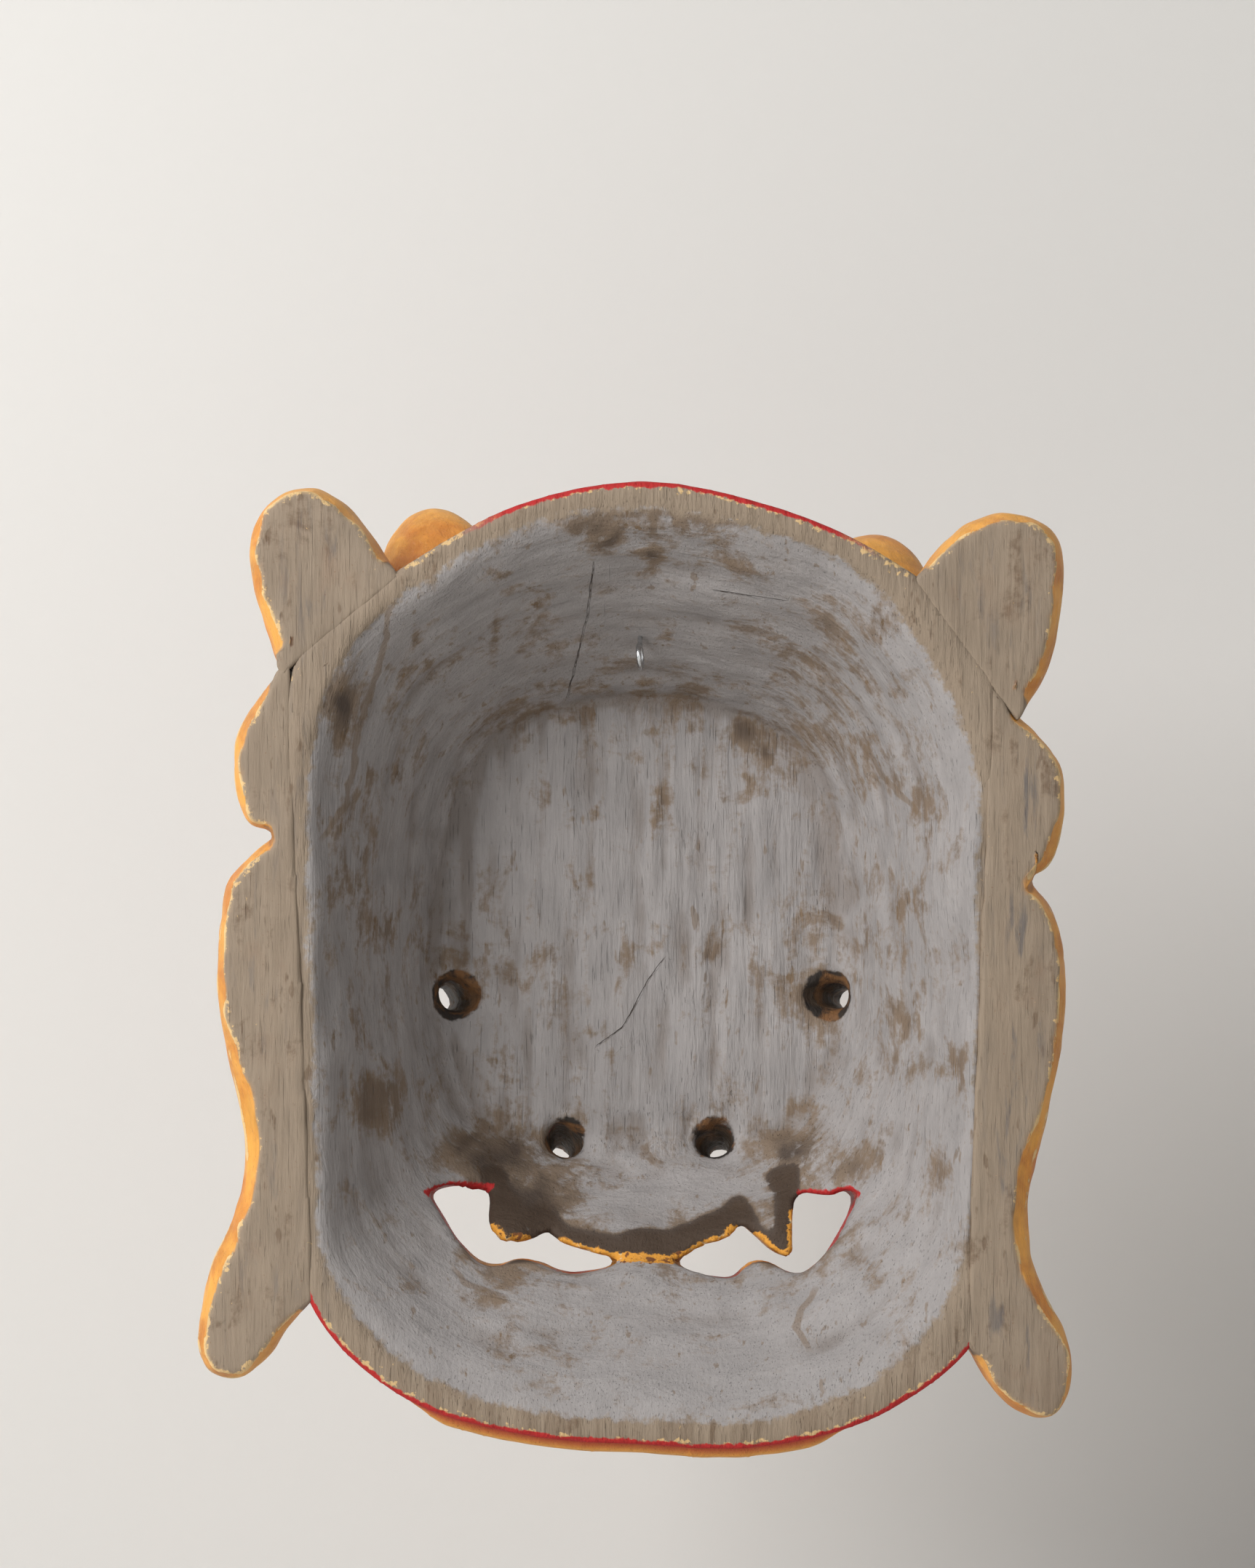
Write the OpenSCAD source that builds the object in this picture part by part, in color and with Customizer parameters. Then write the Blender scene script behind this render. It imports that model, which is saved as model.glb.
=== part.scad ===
// Carved wooden beast mask with fangs, hollow behind, made to hang from a screw eye.
// Upright, front towards -Y, open back towards +Y. The origin is the centre of the screw eye's ring.
// All shapes are first laid out about the middle of the back plane, y = 0, then shifted to that origin.

/* [Face block] */
// Width of the face block between the glue faces of the manes, at mid height
face_w = 243; // [215:1:270]
// Height of the face block, from the crown to the chin
face_h = 338; // [300:1:375]
// Depth from the back plane to the flat of the brow
face_d = 108; // [104:1:122]
// Share of the depth that the chin falls back by
chin_back = 0.28; // [0.2:0.01:0.34]
// Share of the depth that the crown falls back by
crown_back = 0.15; // [0:0.01:0.2]
// Width of the rim that shows at the back
rim_w = 10; // [8:0.5:12]
// Lean of the glue faces, wider at the top
glue_lean = 2.2; // [1.5:0.1:3]

/* [Hollow] */
// Depth of the hollow behind the face
hollow_d = 85; // [76:1:88]
// Half width of the flat floor of the hollow
floor_w = 76; // [68:1:80]
// Height of the floor's upper edge above the middle
floor_top = 95; // [85:1:100]
// Depth of the floor's lower edge below the middle
floor_low = 76; // [68:1:80]

/* [Features] */
// How far the nose stands out from the face
nose_out = 40; // [30:1:48]
// How far the brows stand out
brow_out = 14; // [8:1:18]
// How far the eyeballs stand out
eyeball_out = 16; // [10:1:20]
// How far the cheeks and lips stand out
lip_out = 13; // [8:1:16]
// How far the beard hangs below the chin
beard_drop = 11; // [6:1:14]

/* [Holes] */
// Bore of each eye hole
eye_hole_d = 16; // [12:0.5:18]
// Distance of the eye holes from the middle
eye_x = 68; // [64:1:72]
// Height of the eye holes, below the middle
eye_low = 15; // [10:1:20]
// Bore of each nostril
nostril_d = 13.5; // [10:0.5:14]
// Distance of the nostrils from the middle
nostril_x = 28; // [25:1:30]
// Height of the nostrils, below the middle
nostril_low = 68; // [66:1:72]

/* [Locks] */
// Thickness of the mane boards and the upper locks
lock_t = 26; // [20:1:28]
// Rounding of the locks' back edges
lock_round = 4; // [2:0.5:5]
// How far the manes reach out from their glue faces
mane_reach = 40; // [32:1:46]
// How far the upper locks reach out from their glue faces
upper_reach = 48; // [40:1:55]

/* [Ears] */
// Length of an ear, from its seat to its tip
ear_len = 33; // [26:1:38]
// Width of an ear at its seat
ear_w = 42; // [34:1:46]
// Thickness of an ear at its seat
ear_t = 24; // [18:1:26]

/* [Screw eye] */
// Outer diameter of the ring
ring_d = 10.4; // [10.2:0.1:12]
// Diameter of the wire
wire_d = 1.8; // [1.6:0.1:2]
// Length of the shank in the wood
shank_l = 9; // [7:0.5:10]
// Height of the screw eye's hole above the middle
hang_z = 117; // [110:1:122]
// Clearance round the shank and the nails in the wood
wood_clear = 0.1; // [0.05:0.05:0.2]
// Thickness of the glue between the block and what is glued to it
glue_t = 0.1; // [0.05:0.05:0.3]

/* [Nails] */
// Diameter of a nail
nail_d = 2; // [1.6:0.1:2.5]
// Length of a nail under its head
nail_l = 24; // [18:1:26]
// Diameter of a nail's head
nail_head_d = 4.4; // [3.6:0.1:5]
// Thickness of a nail's head
nail_head_t = 1; // [0.8:0.1:1.4]

/* [Hidden] */
turns = 96;          // points round each ring of the face block
front_rings = 28;    // rings over the front of the face block
wall_rings = 8;      // rings down the wall of the hollow
curve_steps = 4;     // points between two points of an outline
far = 400;           // longer than the mask
kx = face_w / 243;   // the outlines below are drawn for a block 243 wide and 338 high
kz = face_h / 338;
wood_ochre = "goldenrod";
wood_red = "firebrick";

// Radii of the back outline every 15 degrees, from the left side over the crown and back by the chin.
rim_radii = [123.5, 129, 146, 165, 163.5, 168, 170.5, 168.5, 168, 166, 146, 129,
  123.5, 126.5, 140, 173, 178.5, 174, 167.7, 169.5, 172.5, 165, 140, 126.5];
// Radii of the hollow's mouth, less the width of the rim where that is plain.
mouth_radii = [116.5, 120, 133, 149, 155, 160, 160.5, 158.5, 157, 147, 135, 122,
  118.5, 123, 136, 156, 166, 163, 158, 160, 161.5, 153, 131, 118.5];

// Outlines of the manes, a curl above and a long tail below: distance out from the glue face, and height.
left_curl = [[1.7, 104.3], [11.3, 93], [18, 81.5], [19.4, 71.5], [18.5, 59.5], [14, 50], [2.9, 46.5]];
left_tail = [[2.9, 46.5], [9, 43.7], [19, 35], [24.6, 25.5], [28.4, -5], [25.8, -30], [21.1, -59], [22.8, -79],
  [28.2, -93.5], [35, -107.5], [40, -131], [38, -140.5], [33, -144.5], [24.5, -145], [15, -138], [8, -128]];
left_end = -116;
right_curl = [[9.3, 87.3], [14.8, 82.4], [21.5, 74.8], [25.1, 67.4], [26, 56.7], [25.2, 44.7], [21.9, 35.8],
  [16.8, 32.2], [12.4, 33]];
right_tail = [[12.4, 33], [17, 27.6], [23.7, 19], [28, 5], [29.1, -20], [25.2, -48.7], [20.7, -70], [18.6, -86],
  [20.6, -102], [25.4, -114], [34.2, -131], [36.2, -145], [32.4, -157], [25, -159.6], [14.2, -154.7], [6.2, -146.3]];
right_end = -132;
// Outlines of the upper locks: distance along the glue face, and distance out from it.
left_lobe = [[-2.2, 16], [-2, 31], [4, 43], [16, 48], [31, 43.5], [41, 30], [46.5, 18], [51.5, 6]];
right_lobe = [[-2, 5], [-5, 15], [-5, 29], [1, 41], [14, 48.5], [27, 44.5], [40, 33], [52, 20], [57, 10]];
// The two ends of each upper lock's foot at the back, as for a left side.
left_notches = [[86.2, 138.5], [127.2, 104.3]];
right_notches = [[97.7, 136.5], [134.1, 87.3]];

// Half width at the glue face for a height z.
function glue_x(z) = face_w / 2 + z * tan(glue_lean);
function scaled(p) = [p[0] * kx, p[1] * kz];

// A cubic curve through b and c, with a and d beyond them.
function blend(a, b, c, d, t) = 0.5 * (2 * b + (c - a) * t + (2 * a - 5 * b + 4 * c - d) * t * t
  + (3 * b - a - 3 * c + d) * t * t * t);
// Radius at an angle from a closed list of radii.
function radius_at(list, angle) =
  let (n = len(list), s = angle / 360 * n, i = floor(s))
  blend(list[(i - 1 + n) % n], list[i % n], list[(i + 1) % n], list[(i + 2) % n], s - i);
// An open smooth line through points.
function smooth(p, steps) = [for (i = [0:len(p) - 2], k = [0:steps - 1])
  blend(p[max(i - 1, 0)], p[i], p[i + 1], p[min(i + 2, len(p) - 1)], k / steps), p[len(p) - 1]];

// A list without its first entry.
function rest(list) = [for (i = [1:len(list) - 1]) list[i]];

// Height of a soft round bump of size 1 at a place.
function bump(x, z, cx, cz, rx, rz) = exp(-pow((x - cx) / rx, 2) - pow((z - cz) / rz, 2));
// A pair of such bumps, one on each side.
function pair(x, z, cx, cz, rx, rz) = bump(x, z, cx, cz, rx, rz) + bump(x, z, -cx, cz, rx, rz);
// Everything that stands out of the front at a place: nose, brows, eyeballs, cheeks and lips.
function relief(x, z) =
  nose_out * (0.5 * bump(x, z, 0, -14, 13, 34) + 0.9 * bump(x, z, 0, -56, 23, 20) + 0.5 * pair(x, z, 27, -64, 14, 12))
  + brow_out * (pair(x, z, 34, 30, 24, 9) + pair(x, z, 70, 20, 20, 11))
  + eyeball_out * pair(x, z, eye_x + 2, -eye_low + 1, 21, 17)
  + lip_out * (pair(x, z, 62, -62, 24, 16) + bump(x, z, 0, -128, 66, 8) + 0.8 * bump(x, z, 0, -150, 40, 12));

// Ring of the front: f runs from 0 at the rim to 1 at the middle.
function front_point(a, f) =
  let (share = 1 - pow(f, 1.5), r = radius_at(rim_radii, a) * share, x = r * cos(a) * kx, z = r * sin(a) * kz,
    rise = pow(1 - pow(share, 3), 0.45), sag = beard_drop * pow(max(-sin(a), 0), 6) * sin(180 * min(2 * f, 1)),
    low = max(0, min(1, (-z - 50) / 90)), high = max(0, min(1, (z - 60) / 100)))
  [x, -rise * (face_d * (1 - chin_back * low - crown_back * high) + relief(x, z)), z - sag];

// Ring of the hollow: g runs from 0 at the rim to 1 at the edge of the floor.
function wall_point(a, g) =
  let (edge = radius_at(mouth_radii, a) - rim_w + 10, ex = edge * cos(a) * kx, ez = edge * sin(a) * kz,
    mid = (floor_top - floor_low) / 2, high = (floor_top + floor_low) / 2,
    q = pow(pow(abs(cos(a)), 3) + pow(abs(sin(a)), 3), -1 / 3),
    fx = floor_w * q * cos(a), fz = mid + high * q * sin(a))
  [ex + (fx - ex) * g, -hollow_d * pow(g, 1.15), ez + (fz - ez) * g];

// Place and slope of the screw eye's seat on the hollow's upper wall.
seat_g = (wall_point(90, 0)[2] - hang_z) / (wall_point(90, 0)[2] - wall_point(90, 1)[2]);
hang_seat = wall_point(90, seat_g);
wall_step = wall_point(90, seat_g + 0.02) - wall_point(90, seat_g - 0.02);
wall_tilt = atan2(-wall_step[1], -wall_step[2]);
neck_l = 2.6;
ring_mid = hang_seat + (neck_l + ring_d / 2) * [0, cos(wall_tilt), -sin(wall_tilt)];

module to_origin() {
  translate(-ring_mid) children();
}

// Two triangles for each cell between m rings of n points.
function ring_sides(n, m) = [for (k = [0:m - 2], i = [0:n - 1], tri = [
  [k * n + (i + 1) % n, k * n + i, (k + 1) * n + i],
  [(k + 1) * n + (i + 1) % n, k * n + (i + 1) % n, (k + 1) * n + i]]) tri];

// A closed solid from rings of equal length, flat at both ends. The resize keeps its size, but makes it one mesh.
module ring_solid(rings) {
  n = len(rings[0]);
  m = len(rings);
  first = [for (i = [0:n - 1]) i];
  last = [for (i = [0:n - 1]) m * n - 1 - i];
  resize([0, 0, 0])
    polyhedron(points = [for (ring = rings, p = ring) p], faces = concat(ring_sides(n, m), [first], [last]));
}

// The face block before its holes: out over the front, and back down the hollow.
module face_block() {
  angles = [for (i = [0:turns - 1]) 360 * i / turns];
  inside = [for (k = [wall_rings:-1:0]) [for (a = angles) wall_point(a, k / wall_rings)]];
  outside = [for (k = [0:front_rings - 1]) [for (a = angles) front_point(a, k / front_rings)]];
  rings = concat(inside, outside);
  n = turns;
  m = len(rings);
  points = concat([for (ring = rings, p = ring) p], [front_point(0, 1)]);
  cap = [for (i = [0:n - 1]) [(m - 1) * n + (i + 1) % n, (m - 1) * n + i, m * n]];
  floor_face = [for (i = [0:n - 1]) i];
  polyhedron(points = points, faces = concat(ring_sides(n, m), cap, [floor_face]));
}

// Everything beyond the line through two points of the back, on the side away from the middle.
module beyond(p, q) {
  turn = atan2(q[1] - p[1], q[0] - p[0]);
  translate([p[0], 0, p[1]]) rotate([0, -turn, 0]) translate([-far, -far, 0]) cube([2 * far, 2 * far, far]);
}

// The flats that the manes and the upper locks are glued to.
module glue_flats(notches) {
  beyond([glue_x(0), 0], [glue_x(-1), -1]);
  beyond(scaled(notches[0]), scaled(notches[1]));
}

// The open mouth, in two parts with the middle teeth resting on the lower lip between them. Each runs
// along the teeth and a fang, then back along the lip: the blunt fang is on the left, the pointed one right.
mouth_parts = [
  [[78, -87], [54, -84], [53, -98], [45, -106], [33, -103], [29, -107], [13, -112], [13, -113.6], [25, -116],
    [38, -110], [52, -114], [63, -110], [73, -98]],
  [[-13, -111.5], [-18, -109], [-31, -103], [-36, -100], [-43, -107], [-56, -112.6], [-57, -99], [-62, -89],
    [-80, -88], [-77, -100], [-60, -116], [-43, -113], [-28, -117], [-13, -114]]];
// The mouth is cut a little downwards as it goes forwards, about the line of its upper corners.
mouth_slant = 7.5;
module mouth_cut() {
  corner = [0, -68, -98 * kz];
  translate(corner) rotate([90 + mouth_slant, 0, 0]) translate([0, -corner[2], -far / 2])
    linear_extrude(height = far) for (part = mouth_parts) polygon([for (p = part) scaled(p)]);
}

// Seats of the ears: x, y and z of the seat, its lean outwards and forwards, and the ear's share of ear_len.
left_seat = [72, -46, 131.4, 28.7, 25, 1];
right_seat = [-81.8, -46, 129.6, -32.3, 25, 0.82];
module at_seat(seat) {
  translate([seat[0] * kx, seat[1], seat[2] * kz]) rotate([0, seat[3], 0]) rotate([seat[4], 0, 0]) children();
}

module eye_hole(side) {
  translate([side * (eye_x - 3), -hollow_d + 12, -eye_low + 2]) rotate([98, 0, side * 14])
    cylinder(d = eye_hole_d, h = 70, $fn = 40);
}

module nostril(side) {
  translate([side * (nostril_x - 1), -hollow_d + 4, -nostril_low + 1]) rotate([108, 0, side * 12])
    cylinder(d = nostril_d, h = 80, $fn = 32);
}

// Nails driven slantwise from the rim into the upper locks: x, z and the way that each slants.
left_nail = [110, 105.5, 50];
right_nail = [-124.5, 93.8, 143.5];
nail_slant = 40;
// Depth of the manes' nails in the block, and each one's place in its notch, as for a left side.
mane_nail_in = 11;
left_notch = left_tail[0];
right_notch = right_tail[0];

module nail(length) {
  cylinder(d = nail_d, h = length, $fn = 24);
  translate([0, 0, -nail_head_t]) cylinder(d = nail_head_d, h = nail_head_t, $fn = 24);
}
// The hole for a nail, with a wider mouth that its head is sunk in.
module nail_bore(length) {
  cylinder(d = nail_d + 2 * wood_clear, h = length + wood_clear, $fn = 24);
  translate([0, 0, -6 * nail_head_t]) cylinder(d = nail_head_d + 2 * wood_clear, h = 6 * nail_head_t, $fn = 24);
}
module at_lock_nail(spot) {
  translate([spot[0] * kx, -nail_head_t - 1.6, spot[1] * kz]) rotate([0, -spot[2], 0])
    rotate([0, 0, nail_slant]) rotate([90, 0, 0]) children();
}
// A mane's nail goes straight in from the notch between curl and tail.
function notch_out(notch) = notch[0] * mane_reach / 40 - nail_head_t - 0.5;
module at_mane_nail(side, notch) {
  z = notch[1] * kz;
  translate([side * (glue_x(z) + notch_out(notch)), -lock_t / 2, z]) rotate([0, -90 * side, 0]) children();
}
module nail_bores() {
  for (spot = [left_nail, right_nail]) at_lock_nail(spot) nail_bore(nail_l);
  at_mane_nail(1, left_notch) nail_bore(notch_out(left_notch) + mane_nail_in);
  at_mane_nail(-1, right_notch) nail_bore(notch_out(right_notch) + mane_nail_in);
}

// The block as it leaves the gouge, with its flats, mouth, eye holes and nostrils, but no bores yet. The resize
// keeps its size, but makes it one mesh.
module carved_block() {
  resize([0, 0, 0]) difference() {
    face_block();
    glue_flats(left_notches);
    mirror([1, 0, 0]) glue_flats(right_notches);
    for (seat = [left_seat, right_seat]) at_seat(seat) translate([-far / 2, -far / 2, 0]) cube(far);
    mouth_cut();
    for (side = [1, -1]) {
      eye_hole(side);
      nostril(side);
    }
  }
}

module face_shell() {
  color(wood_red) to_origin() difference() {
    carved_block();
    at_hang_seat() translate([0, 0, -shank_l - 1]) cylinder(d = wire_d + 2 * wood_clear, h = shank_l + 6, $fn = 32);
    nail_bores();
  }
}

// Depth share and inset of each ring of a board, from its front to its back face.
lock_profile = [[1, 5], [0.9, 2.5], [0.7, 0.8], [0.35, 0], [0.12, lock_round * 0.3], [0, lock_round]];
// A line moved inwards, less so where it nears the glue face.
near_glue = 18;
function inset(line, e) = [for (i = [0:len(line) - 1])
  let (a = line[max(i - 1, 0)], b = line[min(i + 1, len(line) - 1)], t = (b - a) / norm(b - a),
    q = line[i] + e * min(1, line[i][1] / near_glue) * [t[1], -t[0]]) [q[0], max(q[1], 0.6)]];

// A mane board on the left side.
module mane(curl, tail, notches, end) {
  p = scaled(notches[0]);
  q = scaled(notches[1]);
  lean = tan(glue_lean);
  share = (face_w / 2 + p[1] * lean - p[0]) / (q[0] - p[0] - (q[1] - p[1]) * lean);
  start = p[1] + share * (q[1] - p[1]);
  line = [for (s = concat(smooth(curl, curve_steps), rest(smooth(tail, curve_steps))))
    [-s[1] * kz, s[0] * mane_reach / 40]];
  ring_solid([for (step = lock_profile) let (
    flat = concat([[-start, glue_t]], inset(line, step[1]), [[-end * kz - 0.7 * step[1], glue_t]]))
    [for (s = flat) [glue_x(-s[0]) + s[1], -lock_t * step[0], -s[0]]]]);
}

// An upper lock on the left side.
module upper_lock(lobe, notches) {
  p = scaled(notches[0]);
  q = scaled(notches[1]);
  foot = norm(q - p);
  along = (q - p) / foot;
  out = [-along[1], along[0]];
  stretch = foot / norm(notches[1] - notches[0]);
  line = [for (s = smooth(lobe, curve_steps)) [s[0] * stretch, s[1] * upper_reach / 48]];
  ring_solid([for (step = lock_profile) let (
    flat = concat([[0.7 * step[1], glue_t]], inset(line, step[1]), [[foot - 0.7 * step[1], glue_t]]))
    [for (s = flat) let (at = p + s[0] * along + s[1] * out) [at[0], -lock_t * step[0], at[1]]]]);
}

module left_mane() {
  color(wood_ochre) to_origin() difference() {
    mane(left_curl, left_tail, left_notches, left_end);
    nail_bores();
  }
}
module right_mane() {
  color(wood_ochre) to_origin() difference() {
    mirror([1, 0, 0]) mane(right_curl, right_tail, right_notches, right_end);
    nail_bores();
  }
}
module left_upper_lock() {
  color(wood_ochre) to_origin() difference() {
    upper_lock(left_lobe, left_notches);
    nail_bores();
  }
}
module right_upper_lock() {
  color(wood_ochre) to_origin() difference() {
    mirror([1, 0, 0]) upper_lock(right_lobe, right_notches);
    nail_bores();
  }
}

// An ear is a leaf of oval rings that bends forwards to a blunt tip.
ear_rings = 7;
ear_points = 32;
module ear(share) {
  ring_solid([for (k = [0:ear_rings]) let (h = k / ear_rings, size = pow(1 - pow(h * 0.96, 2.6), 0.6))
    [for (i = [0:ear_points - 1]) let (a = 360 * i / ear_points)
      [ear_w / 2 * size * cos(a), ear_t / 2 * size * sin(a) - 5 * h * h, glue_t + ear_len * share * h]]]);
}
module left_ear() {
  color(wood_ochre) to_origin() at_seat(left_seat) ear(left_seat[5]);
}
module right_ear() {
  color(wood_ochre) to_origin() at_seat(right_seat) ear(right_seat[5]);
}

// The screw eye's own axis, outwards from its seat in the hollow.
module at_hang_seat() {
  translate(hang_seat) rotate([-90 - wall_tilt, 0, 0]) children();
}
ring_turn = 9;       // how far the ring stands turned from the middle plane
module screw_eye() {
  color("silver") to_origin() at_hang_seat() {
    translate([0, 0, -shank_l]) cylinder(d = wire_d, h = shank_l + neck_l + wire_d / 2, $fn = 32);
    translate([0, 0, neck_l + ring_d / 2]) rotate([0, 90, ring_turn]) rotate_extrude($fn = 64)
      translate([(ring_d - wire_d) / 2, 0]) circle(d = wire_d, $fn = 24);
  }
}

module left_lock_nail() {
  color("dimgray") to_origin() at_lock_nail(left_nail) nail(nail_l);
}
module right_lock_nail() {
  color("dimgray") to_origin() at_lock_nail(right_nail) nail(nail_l);
}
module mane_nails() {
  color("dimgray") to_origin() {
    at_mane_nail(1, left_notch) nail(notch_out(left_notch) + mane_nail_in);
    at_mane_nail(-1, right_notch) nail(notch_out(right_notch) + mane_nail_in);
  }
}

face_shell();
left_mane();
right_mane();
left_upper_lock();
right_upper_lock();
left_ear();
right_ear();
screw_eye();
left_lock_nail();
right_lock_nail();
mane_nails();
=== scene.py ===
import math
import bmesh
import bpy
import numpy as np
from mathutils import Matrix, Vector


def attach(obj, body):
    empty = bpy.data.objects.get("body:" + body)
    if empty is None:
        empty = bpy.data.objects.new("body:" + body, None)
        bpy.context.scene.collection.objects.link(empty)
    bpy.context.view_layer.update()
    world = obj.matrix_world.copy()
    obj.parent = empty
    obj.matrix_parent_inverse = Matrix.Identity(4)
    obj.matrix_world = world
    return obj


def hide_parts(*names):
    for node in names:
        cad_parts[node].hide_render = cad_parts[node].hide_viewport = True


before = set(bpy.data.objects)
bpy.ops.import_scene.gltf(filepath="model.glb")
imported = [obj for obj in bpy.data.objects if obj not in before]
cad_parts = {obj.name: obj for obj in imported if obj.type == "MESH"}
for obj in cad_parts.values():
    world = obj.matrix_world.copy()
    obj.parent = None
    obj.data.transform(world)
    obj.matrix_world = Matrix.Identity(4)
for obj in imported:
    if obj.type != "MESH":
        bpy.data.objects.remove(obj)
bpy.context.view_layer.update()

# Shapes are worked out in millimetres about the middle of the mask's back plane, front towards -Y,
# and shifted at the end so that the screw eye's ring is at the origin.
eyeRing = np.array([0.0, -48.563, 110.648])


def toScene(points):
    return (points - eyeRing) / 1000


def toCarving(points):
    return points * 1000 + eyeRing


# 0 up to a, 1 from b on, and a soft step between; a may be the larger of the two.
def ramp(a, b, value):
    t = np.clip((value - a) / (b - a), 0, 1)
    return t * t * (3 - 2 * t)


# Bell of height 1 at a place, with its own half widths across and up.
def bell(x, z, cx, cz, rx, rz):
    return np.exp(-((x - cx) / rx) ** 2 - ((z - cz) / rz) ** 2)


def bellPair(x, z, cx, cz, rx, rz):
    return bell(x, z, cx, cz, rx, rz) + bell(x, z, -cx, cz, rx, rz)


# A fixed random number from -1 to 1 for each whole-numbered place.
def latticeValue(i, seed):
    n = (i[0] * 73856093) ^ (i[1] * 19349663) ^ (i[2] * 83492791) ^ (seed * 374761393)
    n = (n ^ (n >> 13)) & 0xFFFFFFFF
    n = (n * 1274126177) & 0xFFFFFFFF
    n = (n ^ (n >> 16)) & 0xFFFFFFFF
    return n / 2147483648.0 - 1


# Smooth lumps from -1 to 1: random values on a cubic lattice, mixed by smooth steps along each axis.
def lumps(x, y, z, seed=1):
    q = [np.asarray(c, dtype=float) for c in np.broadcast_arrays(x, y, z)]
    whole = [np.floor(c).astype(np.int64) for c in q]
    part = [c - w for c, w in zip(q, whole)]
    part = [t * t * (3 - 2 * t) for t in part]
    total = 0
    for dx in (0, 1):
        for dy in (0, 1):
            for dz in (0, 1):
                weight = (part[0] if dx else 1 - part[0]) * (part[1] if dy else 1 - part[1])
                weight = weight * (part[2] if dz else 1 - part[2])
                total = total + weight * latticeValue([whole[0] + dx, whole[1] + dy, whole[2] + dz], seed)
    return total


# A cubic curve through b and c, with a and d beyond them.
def blendCurve(a, b, c, d, t):
    cubic = 3 * b - a - 3 * c + d
    return 0.5 * (2 * b + (c - a) * t + (2 * a - 5 * b + 4 * c - d) * t ** 2 + cubic * t ** 3)


# Radius at each angle from radii that stand at even angles round a closed outline.
def radiusAt(radii, degrees):
    radii = np.array(radii, dtype=float)
    place = np.mod(degrees, 360) / 360 * len(radii)
    i = np.floor(place).astype(int)
    a, b, c, d = [radii[(i + k) % len(radii)] for k in (-1, 0, 1, 2)]
    return blendCurve(a, b, c, d, place - i)


# A smooth line through points, with its ends open or closed.
def smoothLine(points, steps, closed=False):
    p = np.array(points, dtype=float)
    n = len(p)
    t = np.arange(steps) / steps
    out = []
    for i in range(n if closed else n - 1):
        ids = [(i + k) % n if closed else min(max(i + k, 0), n - 1) for k in (-1, 0, 1, 2)]
        out.append(blendCurve(*[p[k][None, :] for k in ids], t[:, None]))
    if not closed:
        out.append(p[-1:])
    return np.concatenate(out)


# Faces of a grid of m rings with n points each; every ring closes on itself.
def ringFaces(m, n):
    k, i = np.meshgrid(np.arange(m - 1), np.arange(n), indexing="ij")
    j = (i + 1) % n
    return np.stack([k * n + j, k * n + i, (k + 1) * n + i, (k + 1) * n + j], axis=-1).reshape(-1, 4)


# A closed solid whose faces look outwards: they are turned round if its volume comes out below 0.
def makeObject(name, points, faces):
    mesh = bpy.data.meshes.new(name)
    mesh.from_pydata(toScene(points).tolist(), [], [list(f) for f in faces])
    shape = bmesh.new()
    shape.from_mesh(mesh)
    if shape.calc_volume(signed=True) < 0:
        bmesh.ops.reverse_faces(shape, faces=shape.faces)
        shape.to_mesh(mesh)
    shape.free()
    mesh.update()
    made = bpy.data.objects.new(name, mesh)
    bpy.context.scene.collection.objects.link(made)
    return made


# A closed solid from rings of equal length, with a flat face at each end.
def ringSolid(name, rings):
    rings = np.array(rings)
    m, n = rings.shape[:2]
    faces = ringFaces(m, n).tolist()
    faces.append(list(range(n)))
    faces.append([m * n - 1 - i for i in range(n)])
    return makeObject(name, rings.reshape(-1, 3), faces)


# Puts the result of an object's modifiers into its mesh.
def bake(thing):
    graph = bpy.context.evaluated_depsgraph_get()
    mesh = bpy.data.meshes.new_from_object(thing.evaluated_get(graph), depsgraph=graph)
    thing.modifiers.clear()
    thing.data = mesh
    mesh.shade_smooth()


def cutAway(thing, cutter):
    step = thing.modifiers.new("cut", "BOOLEAN")
    step.operation = "DIFFERENCE"
    step.solver = "EXACT"
    step.object = cutter
    bake(thing)
    bpy.data.objects.remove(cutter)


# Even small squares all over the surface, of the given size in millimetres.
def evenOut(thing, size):
    step = thing.modifiers.new("even", "REMESH")
    step.mode = "VOXEL"
    step.voxel_size = size / 1000
    step.adaptivity = 0
    step.use_smooth_shade = True
    bake(thing)


def readPoints(thing):
    points = np.empty(len(thing.data.vertices) * 3)
    thing.data.vertices.foreach_get("co", points)
    return toCarving(points.reshape(-1, 3))


def writePoints(thing, points):
    thing.data.vertices.foreach_set("co", toScene(points).ravel())
    thing.data.update()


def readNormals(thing):
    normals = np.empty(len(thing.data.vertices) * 3)
    thing.data.vertex_normals.foreach_get("vector", normals)
    return normals.reshape(-1, 3)


def readEdges(thing):
    edges = np.empty(len(thing.data.edges) * 2, dtype=np.int64)
    thing.data.edges.foreach_get("vertices", edges)
    return edges.reshape(-1, 2)


# Mean of each vertex's neighbours, the given number of times.
def averaged(values, edges, times):
    n = len(values)
    count = np.bincount(edges.ravel(), minlength=n).astype(float)
    count[count == 0] = 1
    for _ in range(times):
        columns = values.reshape(n, -1)
        mean = [(np.bincount(edges[:, 0], columns[edges[:, 1], k], n)
                 + np.bincount(edges[:, 1], columns[edges[:, 0], k], n)) / count
                for k in range(columns.shape[1])]
        values = np.stack(mean, axis=1).reshape(values.shape)
    return values


# How far each vertex stands out from the mean of those round it, in millimetres: edges are above 0.
def standsOut(thing, times=3):
    points = readPoints(thing)
    edges = readEdges(thing)
    return ((points - averaged(points, edges, times)) * readNormals(thing)).sum(axis=1)


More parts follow.
